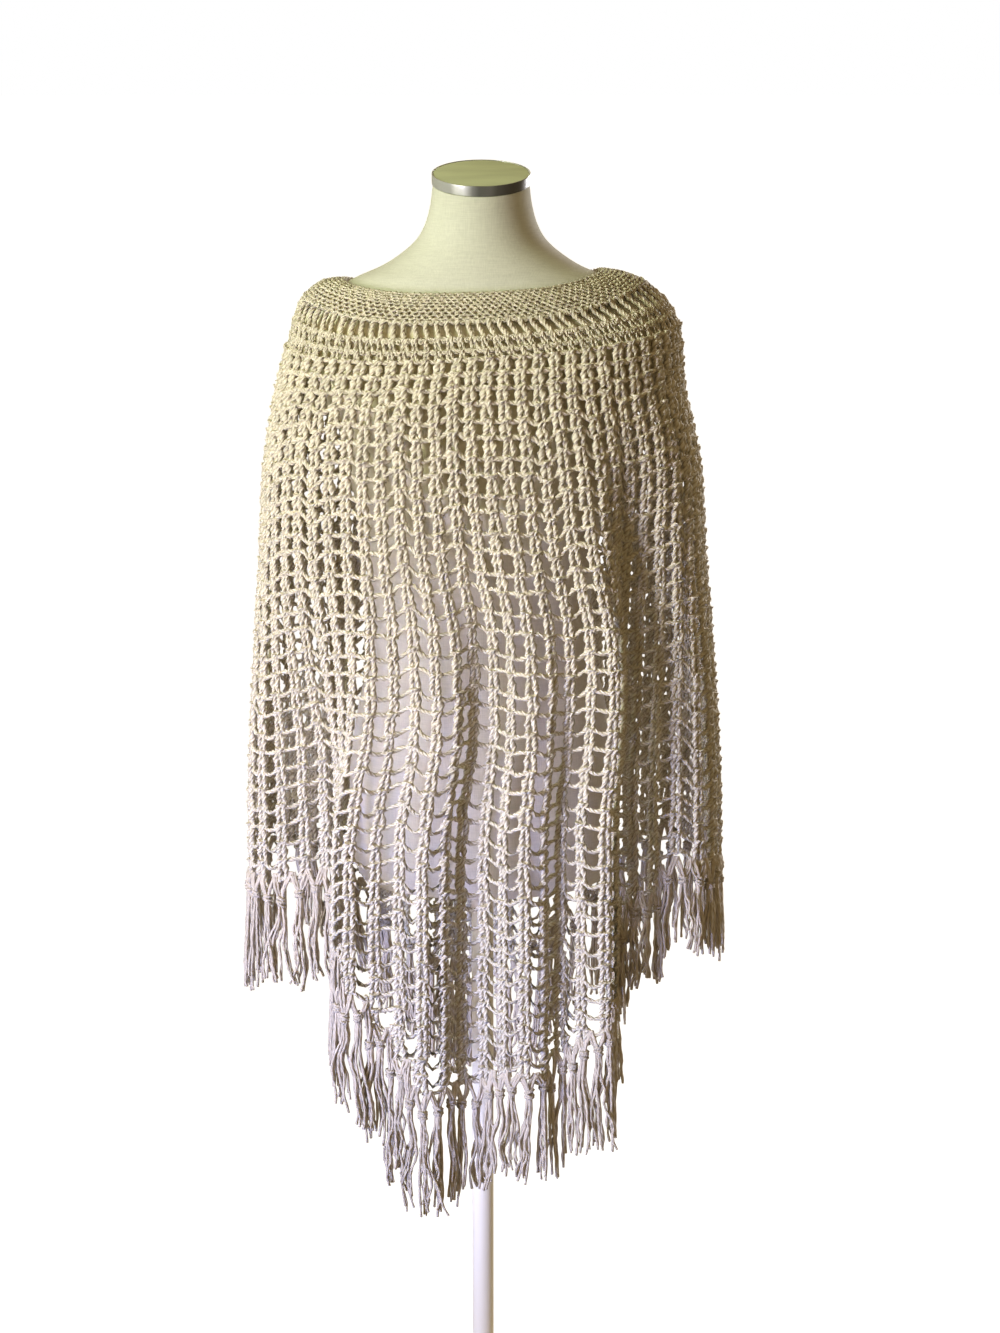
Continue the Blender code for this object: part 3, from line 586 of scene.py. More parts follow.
def steel_material(colour):
    """Brushed stainless steel: fine lines round the band, and bright and dark bands, soft at their edges,
    painted into its colour round the ring as painted reflections and painted shade."""
    made, tree, shader, place = new_material("brushed_stainless_steel")
    parts = add_node(tree, "ShaderNodeSeparateXYZ", {0: place}).outputs
    ahead = add_node(tree, "ShaderNodeMath", {0: CAP_CENTRE.y, 1: parts["Y"]}, operation="SUBTRACT")
    angle = add_node(tree, "ShaderNodeMath", {0: parts["X"], 1: ahead}, operation="ARCTAN2")
    share = add_node(tree, "ShaderNodeMapRange", {"Value": angle, "From Min": -math.pi,
                                                  "From Max": math.pi})
    # Painted reflections and painted shade: a ramp of brightness round the ring, from the table above.
    painted_reflections = add_node(tree, "ShaderNodeValToRGB", {"Fac": share})
    marks = painted_reflections.color_ramp.elements
    for painted_reflection in PAINTED_REFLECTIONS[1:-1]:
        marks.new((painted_reflection.angle - PAINTED_REFLECTIONS[0].angle) / (PAINTED_REFLECTIONS[-1].angle - PAINTED_REFLECTIONS[0].angle))
    for mark, painted_reflection in zip(marks, PAINTED_REFLECTIONS):
        mark.color = (painted_reflection.shade, painted_reflection.shade, painted_reflection.shade, 1.0)
    drawn = add_node(tree, "ShaderNodeMapping", {"Vector": place, "Scale": (6.0, 6.0, 60.0)})
    lines = add_node(tree, "ShaderNodeTexNoise", {"Vector": drawn, "Scale": 60.0, "Detail": 4.0})
    line = add_node(tree, "ShaderNodeMapRange", {"Value": lines, "From Min": 0.3, "From Max": 0.7,
                                                 "To Min": 0.93, "To Max": 1.05})
    # The painted reflections and shade, times the fine brush lines.
    tone = add_node(tree, "ShaderNodeVectorMath", {0: painted_reflections, "Scale": line}, operation="SCALE")
    tinted = add_node(tree, "ShaderNodeVectorMath", {0: tone, 1: linear(colour)[:3]}, operation="MULTIPLY")
    feed(tree, shader, {"Base Color": tinted, "Roughness": 0.36, "Metallic": 0.4})
    return made


def enamel_material(colour):
    """White satin enamel sprayed on a steel tube and foot, with the faint ripple of the spray."""
    made, tree, shader, place = new_material("white_satin_enamel")
    ripple = add_node(tree, "ShaderNodeTexNoise", {"Vector": place, "Scale": 350.0, "Detail": 2.0})
    bump = add_node(tree, "ShaderNodeBump", {"Height": ripple, "Strength": 0.10, "Distance": 0.0003})
    feed(tree, shader, {"Base Color": linear(colour), "Normal": bump, "Roughness": 0.42})
    return made


def plate_material(colour):
    """Pale moulded plastic plate, satin, with a few rubbed marks."""
    made, tree, shader, place = new_material("moulded_cap_plastic")
    rubbed = add_node(tree, "ShaderNodeMapping", {"Vector": place, "Scale": (9.0, 34.0, 34.0),
                                                  "Rotation": (0.0, 0.0, 0.25)})
    marks = add_node(tree, "ShaderNodeTexNoise", {"Vector": rubbed, "Scale": 1.3, "Detail": 3.0})
    amount = add_node(tree, "ShaderNodeMapRange", {"Value": marks, "From Min": 0.40, "From Max": 0.66,
                                                   "To Min": 1.03, "To Max": 0.90})
    wear_and_painted_light = add_node(tree, "ShaderNodeVectorMath", {0: linear(colour)[:3], "Scale": amount},
                    operation="SCALE")
    rough = add_node(tree, "ShaderNodeMapRange", {"Value": marks, "To Min": 0.5, "To Max": 0.62})
    feed(tree, shader, {"Base Color": wear_and_painted_light, "Roughness": rough, "Specular IOR Level": 0.4})
    return made


def floor_material(colour, glow):
    """Matt white studio paint under its own even light, with a hardly seen unevenness of the roller.
    The even light is seen and doesn't reach the poncho."""
    made, tree, shader, place = new_material("matt_floor_paint")
    roller = add_node(tree, "ShaderNodeTexNoise", {"Vector": place, "Scale": 120.0})
    bump = add_node(tree, "ShaderNodeBump", {"Height": roller, "Strength": 0.05, "Distance": 0.0005})
    seen = add_node(tree, "ShaderNodeLightPath").outputs["Is Camera Ray"]
    amount = add_node(tree, "ShaderNodeMath", {0: seen, 1: glow}, operation="MULTIPLY")
    feed(tree, shader, {"Base Color": linear(colour), "Normal": bump, "Roughness": 0.95,
                        "Specular IOR Level": 0.1, "Emission Color": WHITE, "Emission Strength": amount})
    return made


def room_light(strength, colour):
    """A dim room all round that looks white."""
    world = bpy.data.worlds.new("studio_room")
    world.use_nodes = True
    tree = world.node_tree
    dim = add_node(tree, "ShaderNodeBackground", {"Color": (*colour, 1.0), "Strength": strength})
    white = add_node(tree, "ShaderNodeBackground", {"Color": WHITE, "Strength": 1.0})
    seen = add_node(tree, "ShaderNodeLightPath").outputs["Is Camera Ray"]
    either = add_node(tree, "ShaderNodeMixShader", {0: seen, 1: dim, 2: white})
    feed(tree, next(node for node in tree.nodes if node.type == "OUTPUT_WORLD"), {"Surface": either})
    return world


# ---- settings a user would change ----
class YarnSettings(bpy.types.PropertyGroup):
    """The crocheted yarn."""
    radius: FloatProperty(name="Radius", description="Half the yarn's wider side",
                          default=0.00360, precision=5, unit="LENGTH")
    flatness: FloatProperty(name="Flatness", description="The yarn's narrow side over its wide one",
                            default=0.74, subtype="FACTOR", min=0.0, max=1.0)
    twist: FloatProperty(name="Twist", description="Length of one whole turn of the yarn",
                         default=0.024, unit="LENGTH")
    unevenness: FloatProperty(name="Unevenness", description="How much the yarn swells and thins",
                              default=0.7, min=0.0, max=1.0, subtype="FACTOR")
    seed: IntProperty(name="Seed", description="Start of the stitches' unevenness", default=11)
    colour: StringProperty(name="Colour", description="Cotton, sRGB hex", default="#E9E0CC")
    # Painted shade: the brown that the grooves between the plies are painted.
    groove_shade: StringProperty(name="Groove colour", description="Between the plies, sRGB hex",
                           default="#A08B68")
    # Painted shade: the brown of the sheet behind the neck band's loops.
    painted_shade_ground: StringProperty(name="Ground colour", description="Inside the close neck band, sRGB hex",
                           default="#A4906A")


class MeshSettings(bpy.types.PropertyGroup):
    """The open mesh."""
    spread_top: FloatProperty(name="Upper spread", description="Half the foot of a leg pair, in columns",
                              default=0.23)
    spread_foot: FloatProperty(name="Lower spread", description="The same near the hem", default=0.15)
    stagger: FloatProperty(name="Stagger", description="How unevenly the columns' knots sit, in rows",
                           default=0.27)
    sag_top: FloatProperty(name="Upper sag", description="Drop of a bar's middle, in rows", default=0.03)
    sag_foot: FloatProperty(name="Lower sag", description="The same near the hem", default=0.38)


class FringeSettings(bpy.types.PropertyGroup):
    """The knotted fringe."""
    spacing: FloatProperty(name="Spacing", description="From bundle to bundle along the hem",
                           default=0.0185, unit="LENGTH")
    drop: FloatProperty(name="Drop", description="Drop to the tips over the cut one", default=1.0)
    knot_drop: FloatProperty(name="Knot drop", description="Hem to the knots", default=0.021,
                             unit="LENGTH")
    strands: IntProperty(name="Strands", description="Loose ends below each knot", default=8)
    strand_radius: FloatProperty(name="Strand radius", description="Half the width of one loose end",
                                 default=0.0019, precision=5, unit="LENGTH")
    colour: StringProperty(name="Colour", description="Cotton ends, sRGB hex", default="#D6CAB8")
    seed: IntProperty(name="Seed", description="Start of the strands' unevenness", default=5)


class FormSettings(bpy.types.PropertyGroup):
    """The dress form."""
    cover: StringProperty(name="Cover", description="Jersey, sRGB hex", default="#D3D3C7")
    # Painted light: the two covers under the poncho are painted paler than the bare one.
    yoke_painted_light_cover: StringProperty(name="Shaded cover", description="Jersey under the yoke, sRGB hex",
                                 default="#F2E9CE")
    low_painted_light_cover: StringProperty(name="Lower cover", description="Jersey under the poncho, sRGB hex",
                              default="#F2EAE2")
    plate: StringProperty(name="Plate", description="Cap plate, sRGB hex", default="#D5DDBD")
    steel: StringProperty(name="Steel", description="Brushed steel, sRGB hex", default="#FAFCFF")
    enamel: StringProperty(name="Enamel", description="The stand's paint, sRGB hex", default="#FFF8E8")


class StageSettings(bpy.types.PropertyGroup):
    """The studio."""
    floor: StringProperty(name="Floor", description="Floor paint, sRGB hex", default="#D2D2CF")
    glow: FloatProperty(name="Floor glow", description="The floor's own even light", default=0.95)
    high_power: FloatProperty(name="High light", description="Warm window light, high at the left",
                              default=5.8, unit="POWER")
    middle_power: FloatProperty(name="Middle light", description="Window light, level with the waist",
                                default=3.1, unit="POWER")
    low_power: FloatProperty(name="Low light", description="Cool sky light, low at the left",
                             default=2.8, unit="POWER")
    back_power: FloatProperty(name="Back light", description="Soft fill behind the form, at the right",
                              default=9.0, unit="POWER")
    room: FloatProperty(name="Room light", description="Dim warm light from all round", default=0.29)


class PonchoSettings(bpy.types.PropertyGroup):
    """All settings."""
    yarn: PointerProperty(type=YarnSettings)
    mesh: PointerProperty(type=MeshSettings)
    fringe: PointerProperty(type=FringeSettings)
    form: PointerProperty(type=FormSettings)
    stage: PointerProperty(type=StageSettings)

# ---- helpers shared by the operators ----
def cotton(yarn):
    """The crocheted yarn's material, made once."""
    name = "mercerised_cotton_yarn"
    return bpy.data.materials.get(name) or yarn_material(name, yarn.colour, yarn.groove_shade, strands=3.0,
                                                         strand_turns=-1.0, depth=0.58)


def crochet(name, yarns, yarn):
    """A crocheted piece of the main yarn."""
    return spin(name, yarns, cotton(yarn), yarn.radius, yarn.flatness, sides=6,
                unevenness=yarn.unevenness, seed=yarn.seed)


def declare(piece, node, cut=None):
    """A piece that rides on the one body and stands for its CAD solid, which is hidden; cut, a sheet of
    cloth's flat size, is not used.
    """
    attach(piece, "root")
    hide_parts(node)


def loose(rng, count, points, amount):
    """Smooth unevenness along each of count yarns: noise on a few knots, spread over the points."""
    knots = rng.normal(0.0, amount, (count, LOOSE_KNOTS))
    share = np.linspace(0.0, LOOSE_KNOTS - 1.0, points)
    low = np.minimum(share.astype(int), LOOSE_KNOTS - 2)
    t = smooth_step(share - low)
    return knots[:, low] * (1 - t) + knots[:, low + 1] * t


# How unevenly yarn is laid, each number the spread of a random draw: across, bend and lean in columns,
# down in rows, lift in metres, width and thick as shares.
Play = namedtuple("Play", "across down lift bend width lean thick", defaults=(0.0,) * 7)
BAND_PLAY = Play(across=0.02, down=0.006)
ROUND_PLAY = Play(across=0.02, down=0.02)
EYE_PLAY = Play(across=0.03, down=0.03)
POST_PLAY = Play(across=0.05, lift=0.0003, bend=0.02)
LEG_PLAY = Play(down=0.02, lift=0.0005, bend=0.02, width=0.12, lean=0.035)
CHAIN_PLAY = Play(across=0.010, down=0.014, thick=0.10)

# A size that changes along a yarn or down the cloth: what it is at first, and what comes to it.
Swell = namedtuple("Swell", "plain more")


def swollen(size, share):
    """The size where a share of its swell has come."""
    return size.plain + size.more * share


# ---- the neck band and the yoke: thickness in yarns of the mesh, lift in metres ----
BAND_LINES = 10                  # looped lines on the band's outside, and as many on its inside
BAND_STITCHES = 112
BAND_SWING = 0.34                # how far a line's loops swing up and down, in lines
BAND_RADIUS = 0.55               # the looped yarn over that of the mesh
BAND_THICK = Swell(0.90, 0.18)   # between the loops of a line, and more at them
OUTER_LIFT = Swell(0.0011, 0.0007)
INNER_LIFT = Swell(0.0, -0.0003)
GROUND_STEP = 0.25
GROUND_RINGS = 9
YOKE_POSTS = 84
POST_POINTS = 6
POST_OVERLAP = 0.04              # how far a post reaches into the rounds above and below, in rows
POST_SPLAY = Swell(0.6, 1.0)     # how far its legs are apart at its top, and more at its foot
POST_SLANT = 0.20                # how far its foot stands aside, in stitches
POST_LIFT = 0.0012
POST_SWELL = 0.14
POST_TWIST = 0.8                 # the twist's length over that of the mesh
YokeRound = namedtuple("YokeRound", "sides thick")
YOKE_ROUNDS = (                  # where each stitch's legs stand, in stitches from its middle
    YokeRound((0.0,), 0.98),
    YokeRound((-0.15, 0.13), 0.78),
    YokeRound((-0.15, 0.13), 0.78),
)
ROUND_SWELL = (1.0, 0.35, 0.0, 0.35)      # over the four places of a stitch
ROUND_SWING = 0.06
ROUND_LIFT = Swell(0.0002, 0.0006)
ROUND_THICK = Swell(0.62, 0.26)
EYE_SIZE = (0.13, 0.17)          # half the small loop between two stitches, in columns and rows
EYE_DROP = 0.12                  # how far it hangs below its round
EYE_LIFT = 0.0018
EYE_THICK = 0.42
EYE_TWIST = 2.0
EYE_POINTS = 5


def whole_round(stitches, play, rng):
    """Four places to each stitch of a whole round, and their columns, a little uneven."""
    places = np.arange(stitches * 4)
    return places, places * COLUMNS / len(places) + rng.normal(0.0, play.across, len(places))


class PONCHO_OT_neck_band(bpy.types.Operator):
    """Crochet the dense neck band"""
    bl_idname = "poncho.neck_band"
    bl_label = "Neck band"

    def execute(self, context):
        yarn = context.scene.poncho.yarn
        rng = np.random.default_rng(yarn.seed)
        swing = np.array([1.0, 0.0, -1.0, 0.0])
        yarns = []
        for line_lift in (OUTER_LIFT, INNER_LIFT):
            for line in range(BAND_LINES):
                places, columns = whole_round(BAND_STITCHES, BAND_PLAY, rng)
                up_down = swing[(places + 2 * line) % 4]
                rows = NECK_ROW + (line + BAND_SWING * up_down) / (BAND_LINES - 1)
                rows = rows + rng.normal(0.0, BAND_PLAY.down, len(places))
                lift, thick = (swollen(size, np.abs(up_down)) for size in (line_lift, BAND_THICK))
                yarns.append(lay_on_cloth(columns, rows, lift, thick, yarn.twist, rng, closed=True))
        finish = yarn_material("close_cotton_yarn", yarn.colour, yarn.groove_shade, strands=2.0,
                               strand_turns=1.0, depth=0.45)
        loops = spin("neck_band_loops", yarns, finish, BAND_RADIUS * yarn.radius, flatness=1.0, sides=4,
                     unevenness=0.4, seed=yarn.seed)
        declare(loops, "neckband")
        declare(self.painted_shade_ground(yarn), "neckband",
                cut_size(0, COLUMNS, NECK_ROW, lambda column: BAND_ROW))
        return {"FINISHED"}

    def painted_shade_ground(self, yarn):
        """A brown sheet behind the outer loops, for the inner loops of the close rounds; its brown is
        painted shade, the shade deep among the loops.
        """
        mesh_data = bmesh.new()
        columns = np.arange(0.0, COLUMNS, GROUND_STEP)
        rings = []
        for row in np.linspace(NECK_ROW, BAND_ROW, GROUND_RINGS):
            places = on_cloth(columns, np.full(len(columns), row))
            rings.append([mesh_data.verts.new(place) for place in places])
        for upper, lower in zip(rings, rings[1:]):
            bridge(mesh_data, upper, lower)
        finish = yarn_material("cotton_ground", yarn.painted_shade_ground, yarn.painted_shade_ground, strands=3.0, strand_turns=-1.0)
        return add_mesh("neck_band_ground", mesh_data, finish)


class PONCHO_OT_yoke(bpy.types.Operator):
    """Crochet the tall round of posts and the two short rounds below it"""
    bl_idname = "poncho.yoke"
    bl_label = "Yoke"

    def execute(self, context):
        yarn = context.scene.poncho.yarn
        rng = np.random.default_rng(yarn.seed + 1)
        t = np.linspace(0.0, 1.0, POST_POINTS)[None, :]
        pitch = COLUMNS / YOKE_POSTS
        middle = (np.arange(YOKE_POSTS)[:, None] + 0.5) * COLUMNS / YOKE_POSTS
        upright = []
        for row, (sides, thickness) in enumerate(YOKE_ROUNDS):
            for side in sides:
                columns = middle + side * pitch * swollen(POST_SPLAY, t) + POST_SLANT * pitch * (t - 0.5)
                columns = columns + rng.normal(0.0, POST_PLAY.across, middle.shape)
                columns = columns + loose(rng, YOKE_POSTS, POST_POINTS, POST_PLAY.bend)
                rows = row - POST_OVERLAP + (1.0 + 2.0 * POST_OVERLAP) * t
                lift = POST_LIFT * (1.0 - t) ** 2 + loose(rng, YOKE_POSTS, POST_POINTS, POST_PLAY.lift)
                thick = thickness + POST_SWELL * np.cos(2.0 * math.pi * t)
                upright.append(lay_on_cloth(columns, rows, lift, thick, POST_TWIST * yarn.twist, rng))
        around = []
        for row in range(BAND_ROW, YOKE_ROW + 1):
            places, columns = whole_round(YOKE_POSTS if row < YOKE_ROW else COLUMNS, ROUND_PLAY, rng)
            share = np.array(ROUND_SWELL)[places % 4]
            rows = row + ROUND_SWING * (share - 0.5) + rng.normal(0.0, ROUND_PLAY.down, len(places))
            lift, thick = (swollen(size, share) for size in (ROUND_LIFT, ROUND_THICK))
            around.append(lay_on_cloth(columns, rows, lift, thick, POST_TWIST * yarn.twist, rng,
                                       closed=True))
        turn = np.linspace(0.0, 2.0 * math.pi, EYE_POINTS + 1)[None, :-1]
        half_width, half_height = EYE_SIZE
        for row in range(1, YOKE_ROW):
            columns = middle + 0.5 * pitch + half_width * np.cos(turn)
            columns = columns + rng.normal(0.0, EYE_PLAY.across, middle.shape)
            rows = row + EYE_DROP + half_height * np.sin(turn)
            rows = rows + rng.normal(0.0, EYE_PLAY.down, middle.shape)
            around.append(lay_on_cloth(columns, rows, EYE_LIFT, EYE_THICK, EYE_TWIST * yarn.twist, rng,
                                       closed=True))
        chains = crochet("yoke_chains", around, yarn)
        declare(chains, "yoke_rows")
        declare(crochet("yoke_posts", upright, yarn), "yoke_rows",
                cut_size(0, COLUMNS, BAND_ROW, lambda column: YOKE_ROW))
        return {"FINISHED"}


# ---- the open mesh: across in columns, down in rows ----
Change = namedtuple("Change", "first_row full_row")
DRIFT = Change(12.0, 40.0)       # from a column's upper unevenness to its lower one, and to a loose bar
STAGGER = Change(3.0, 7.0)
ARCH = Change(5.0, 11.0)
OPENING = Change(6.0, 22.0)      # from the close upper stitches to the open lower ones
ARCH_PULL = (-0.17, 0.05)        # how a bar of an even and of an odd row is pulled up (-) or down (+)
ARCH_LOSS = 0.7                  # how much of that is gone near the hem
SAG_POWER = 1.4                  # above 1 the bars' sag comes late
KNOT_DRIFT = 0.05                # random drop of each knot, and share of each column's and bar's sag
COLUMN_SLACK = 0.55
BAR_SLACK = 0.30
SLACK_LIMITS = (-0.2, 2.2)
ARM_COLUMNS = (36.0, 59.0)       # at the back beside the arms the two legs of a stitch stand apart
ARM_REACH = 5.0                  # how many columns to either side do so
ARM_SPREAD = 0.25
NECK_SPREAD = 0.075              # half the width of a leg pair at its knot, and how much more there
ARM_NECK_SPREAD = 0.09
MIDDLE_LEG_FROM = 0.35           # the share of that change from which a middle leg is worked
LEG_POINTS = 9
LEG_RISE = 0.13                  # how far a leg starts above its knot, and how much longer it is
LEG_EXTRA = 0.18                 # than from knot to knot
LEG_SPREAD_START = 0.15          # how far along its spread curve a leg starts
LEG_LIFT = 0.0018
LEG_LUMPS = Swell(1.0, 0.20)
LEG_THICK = Swell(1.16, -0.12)   # near the yoke, and what comes to it where the mesh is open
CHAIN_LIFT = Swell(0.0, -0.0003)  # on a bar, and more at a stitch
CHAIN_LUMPS = Swell(0.76, 0.26)
CHAIN_THICK = Swell(1.26, -0.20)
CHAIN_TWIST = 0.85
CHAIN_MARKS = (0.0, 0.2, 0.4, 0.6, 0.8)
BAR_START = 0.12                 # where a bar leaves its stitch, and its length
BAR_LENGTH = 0.76
BAR_FULLNESS = 0.8               # below 1 a sagging bar is rounder than a sine
KNOT_WIDTH = 0.17
EDGE_POINTS = 5                  # to each row of an open edge
EDGE_REACH = 0.30                # from a stitch's middle to the edge, and how far that swings
EDGE_SWING = 0.06
EDGE_LIFT = 0.0004
EDGE_THICK = 0.8
HAIR = 1e-6                      # keeps two places apart, in columns

MeshPiece = namedtuple("MeshPiece", "name node first_column")
MESH_PIECES = (
    MeshPiece("front_mesh_left", "front_mesh", 0),
    MeshPiece("front_mesh_right", "front_mesh", QUARTER),
    MeshPiece("back_mesh_right", "back_mesh", HALF),
    MeshPiece("back_mesh_left", "back_mesh", HALF + QUARTER),
)


def mesh_hang(mesh, rng):
    """By stitch column and row: how far its knots sit below the even row, and how the bar to the next
    column hangs. Both drift slowly down a column, as a loose or tight stretch does."""
    down = np.arange(POINT_ROW + 3)[None, :]
    shape = (COLUMNS, down.size)
    lower = grown(down, DRIFT)
    own = rng.normal(0.0, 1.0, (COLUMNS, 3))    # upper, lower, and a spare one
    knots = own[:, :1] * (1 - lower) + own[:, 1:2] * lower
    knots = (knots * mesh.stagger + rng.normal(0.0, KNOT_DRIFT, shape)) * grown(down, STAGGER)
    mean_sag = mesh.sag_top + (mesh.sag_foot - mesh.sag_top) * lower ** SAG_POWER
    slack = 1.0 + COLUMN_SLACK * rng.normal(0.0, 1.0, (COLUMNS, 1)) + rng.normal(0.0, BAR_SLACK, shape)
    arch = np.where(down % 2 == 0, *ARCH_PULL) * grown(down, ARCH)
    return knots, mean_sag * np.clip(slack, *SLACK_LIMITS) + arch * (1.0 - ARCH_LOSS * lower)


def leg_pairs(cells, knots, settings, rng):
    """The two legs of each stitch, from a shared knot down to either side of it, and the middle legs.

    cells holds the column and the row of the knot of each stitch. A middle leg is only worked at the
    back, beside the arms, where the two legs stand further apart.
    """
    mesh = settings.mesh
    count = len(cells)
    t = np.linspace(0.0, 1.0, LEG_POINTS)[None, :]
    column, row = cells.T
    top = (row + knots[column, row])[:, None]
    foot = (row + 1 + knots[column, row + 1])[:, None]
    lower = grown(row, OPENING)[:, None]
    spread = mesh.spread_top + (mesh.spread_foot - mesh.spread_top) * lower
    apart = sum(np.exp(-((column - middle) / ARM_REACH) ** 2) for middle in ARM_COLUMNS)[:, None]
    spread = spread + (ARM_SPREAD - spread) * apart
    neck = NECK_SPREAD + ARM_NECK_SPREAD * apart
    lean = rng.normal(0.0, LEG_PLAY.lean, (count, 1))
    legs = []
    for side, least_apart in ((-1.0, 0.0), (1.0, 0.0), (0.0, MIDDLE_LEG_FROM)):
        wide = neck + (spread - neck) * smooth_step(LEG_SPREAD_START + (1.0 - LEG_SPREAD_START) * t)
        wide = wide * (1.0 + rng.normal(0.0, LEG_PLAY.width, (count, 1)))
        columns = column[:, None] + 0.5 + side * wide + lean * np.sin(math.pi * t)
        columns = columns + loose(rng, count, LEG_POINTS, LEG_PLAY.bend)
        rows = top - LEG_RISE + (foot - top + LEG_EXTRA) * t + rng.normal(0.0, LEG_PLAY.down, (count, 1))
        lift = LEG_LIFT * (1.0 - t) ** 2 + loose(rng, count, LEG_POINTS, LEG_PLAY.lift)
        thick = swollen(LEG_LUMPS, np.cos(4.0 * math.pi * t)) * swollen(LEG_THICK, lower)
        worked = apart[:, 0] > least_apart
        legs.append(lay_on_cloth(columns[worked], rows[worked], lift[worked], thick[worked],
                                 settings.yarn.twist, rng))
    return legs[:2], legs[2:]


def chain_runs(first_column, last_column, row):
    """Stretches of neighbouring columns that reach down to a row."""
    runs = []
    for column in range(first_column, last_column):
        if hem_row(column) < row:
            continue
        if runs and runs[-1][1] == column:
            runs[-1][1] = column + 1
        else:
            runs.append([column, column + 1])
    return runs


def chain_rows(first_column, last_column, knots, hang, twist, rng):
    """The chain that runs along each row: a lump at each stitch and a hanging bar between two."""
    marks = np.array(CHAIN_MARKS)
    yarns = []
    for row in range(YOKE_ROW + 1, POINT_ROW + 1):
        for start, stop in chain_runs(first_column, last_column, row):
            # the run starts and stops in the middle of a bar where the next piece or column goes on
            first = start - 0.5 if start == first_column else start
            last = stop - 0.5 if stop == last_column else stop - 1
            within = (column + marks for column in range(int(first - 0.5), stop))
            at = np.unique(np.concatenate([[first + HAIR], *within, [last]]))
            at = at[(at >= first) & (at <= last + HAIR)]
            if len(at) < 3:
                continue
            left = np.floor(at + 10.0 * HAIR).astype(int)
            share = at - left
            here = knots[left % COLUMNS, row]
            following = knots[(left + 1) % COLUMNS, row]
            bar = np.clip((share - BAR_START) / BAR_LENGTH, 0.0, 1.0)
            rows = row + here + (following - here) * smooth_step(bar)
            rows = rows + hang[left % COLUMNS, row] * np.sin(math.pi * bar) ** BAR_FULLNESS
            rows = rows + rng.normal(0.0, CHAIN_PLAY.down, len(at))
            knot = np.exp(-(np.minimum(share, 1.0 - share) / KNOT_WIDTH) ** 2)
            columns = at + 0.5 + rng.normal(0.0, CHAIN_PLAY.across, len(at))
            thick = swollen(CHAIN_LUMPS, knot) * swollen(CHAIN_THICK, float(grown(row, OPENING)))
            thick = thick * (1.0 + rng.normal(0.0, CHAIN_PLAY.thick, len(at)))
            yarns.append(lay_on_cloth(columns, rows, swollen(CHAIN_LIFT, knot), thick, CHAIN_TWIST * twist,
                                      rng))
    return yarns


def edge_chains(first_column, last_column, knots, twist, rng):
    """The upright edge of each row that ends in the open, where the hem steps down."""
    yarns = []
    for column in range(first_column, last_column):
        for side, other in ((-1.0, column - 1), (1.0, column + 1)):
            top = hem_row(other)
            foot = hem_row(column)
            if foot <= top or not first_column <= other < last_column:
                continue
            steps = foot - top
            t = np.linspace(0.0, 1.0, EDGE_POINTS * steps + 1)
            columns = column + 0.5 + side * (EDGE_REACH + EDGE_SWING * np.cos(2.0 * math.pi * t * steps))
            rows = top + steps * t + knots[column, foot]
            yarns.append(lay_on_cloth(columns, rows, EDGE_LIFT, EDGE_THICK, twist, rng))
    return yarns


class PONCHO_OT_open_mesh(bpy.types.Operator):
    """Crochet the open mesh of leg pairs and chain bars, front and back"""
    bl_idname = "poncho.open_mesh"
    bl_label = "Open mesh"

    def execute(self, context):
        settings = context.scene.poncho
        yarn = settings.yarn
        rng = np.random.default_rng(yarn.seed + 2)
        knots, hang = mesh_hang(settings.mesh, rng)
        for name, node, first in MESH_PIECES:
            last = first + QUARTER
            cells = np.array([(column, row) for column in range(first, last)
                              for row in range(YOKE_ROW, hem_row(column))])
            pairs, middle_legs = leg_pairs(cells, knots, settings, rng)
            around = chain_rows(first, last, knots, hang, yarn.twist, rng) + middle_legs
            around += edge_chains(first, last, knots, yarn.twist, rng)
            chains = crochet(name + "_chains", around, yarn)
            declare(chains, node)
            declare(crochet(name + "_legs", pairs, yarn), node,
                    cut_size(first, last, YOKE_ROW, hem_row))
        return {"FINISHED"}


# ---- the fringe, in metres ----
HEM_CORNER = 0.32                # from a stitch's middle to where its hem turns up, in columns
FIRST_BUNDLE = 0.6               # from a step's upper end to its first bundle, in rows
ROUTE_STEPS = 12
STEEPNESS = 0.45                 # how much a step's height counts, so that bundles lie closer across
HALF_STRANDS = 4                 # yarns that each bundle gives to a knot
HALF_PITCH = 0.0016
HALF_POINTS = 6
LOOP_RISE = 0.0035               # how far above the hem a bundle is looped in
LOOP_BULGE = 0.0028
KNOT_OUT = 0.0020
FALL_LIMITS = (-0.4, 0.7)
HALF_GATHER = 0.35               # how much of its place in the bundle a yarn has left at the knot
KNOT_HALF = (0.0042, 0.0038)     # half the knot's width and depth
KNOT_LEVELS = (-0.0026, 0.0003, 0.0032)
KNOT_POINTS = 8
KNOT_THICK = 1.25
KNOT_TWIST = 0.03                # length of one whole turn of its yarn, and of a loose end
END_TWIST = 0.10
END_POINTS = 14
END_THICK = Swell(1.04, -0.20)   # at the knot, and what comes to it down to the tip
END_RADIUS = 0.0022              # of the bundle at its knot, and the least it widens
END_SPLAY = 0.0016
END_DEPTH = 0.8                  # the bundle's depth over its width
END_OUTWARD = 0.03               # how far an end swings out over its length
CLUMP_LIMITS = (0.55, 1.25)
SPLAY_SPEED = 1.3                # how soon down an end its splay and its waves are full
WAVE_SPEED = 2.5
HANG_POWER = 1.5                 # above 1 an end leans and strays late
WAVE_TURNS = (1.6, 3.2)          # half waves along an end
CRIMP_TURNS = (3.0, 7.0)
CRIMP_DEPTH = 0.5                # in and out, over from side to side
PHASES = (0.0, 6.0)              # where a wave starts, in radians
STRAY_SHARE = 0.07               # how many ends hang away from their bundle
UP = np.array([0.0, 0.0, 1.0])

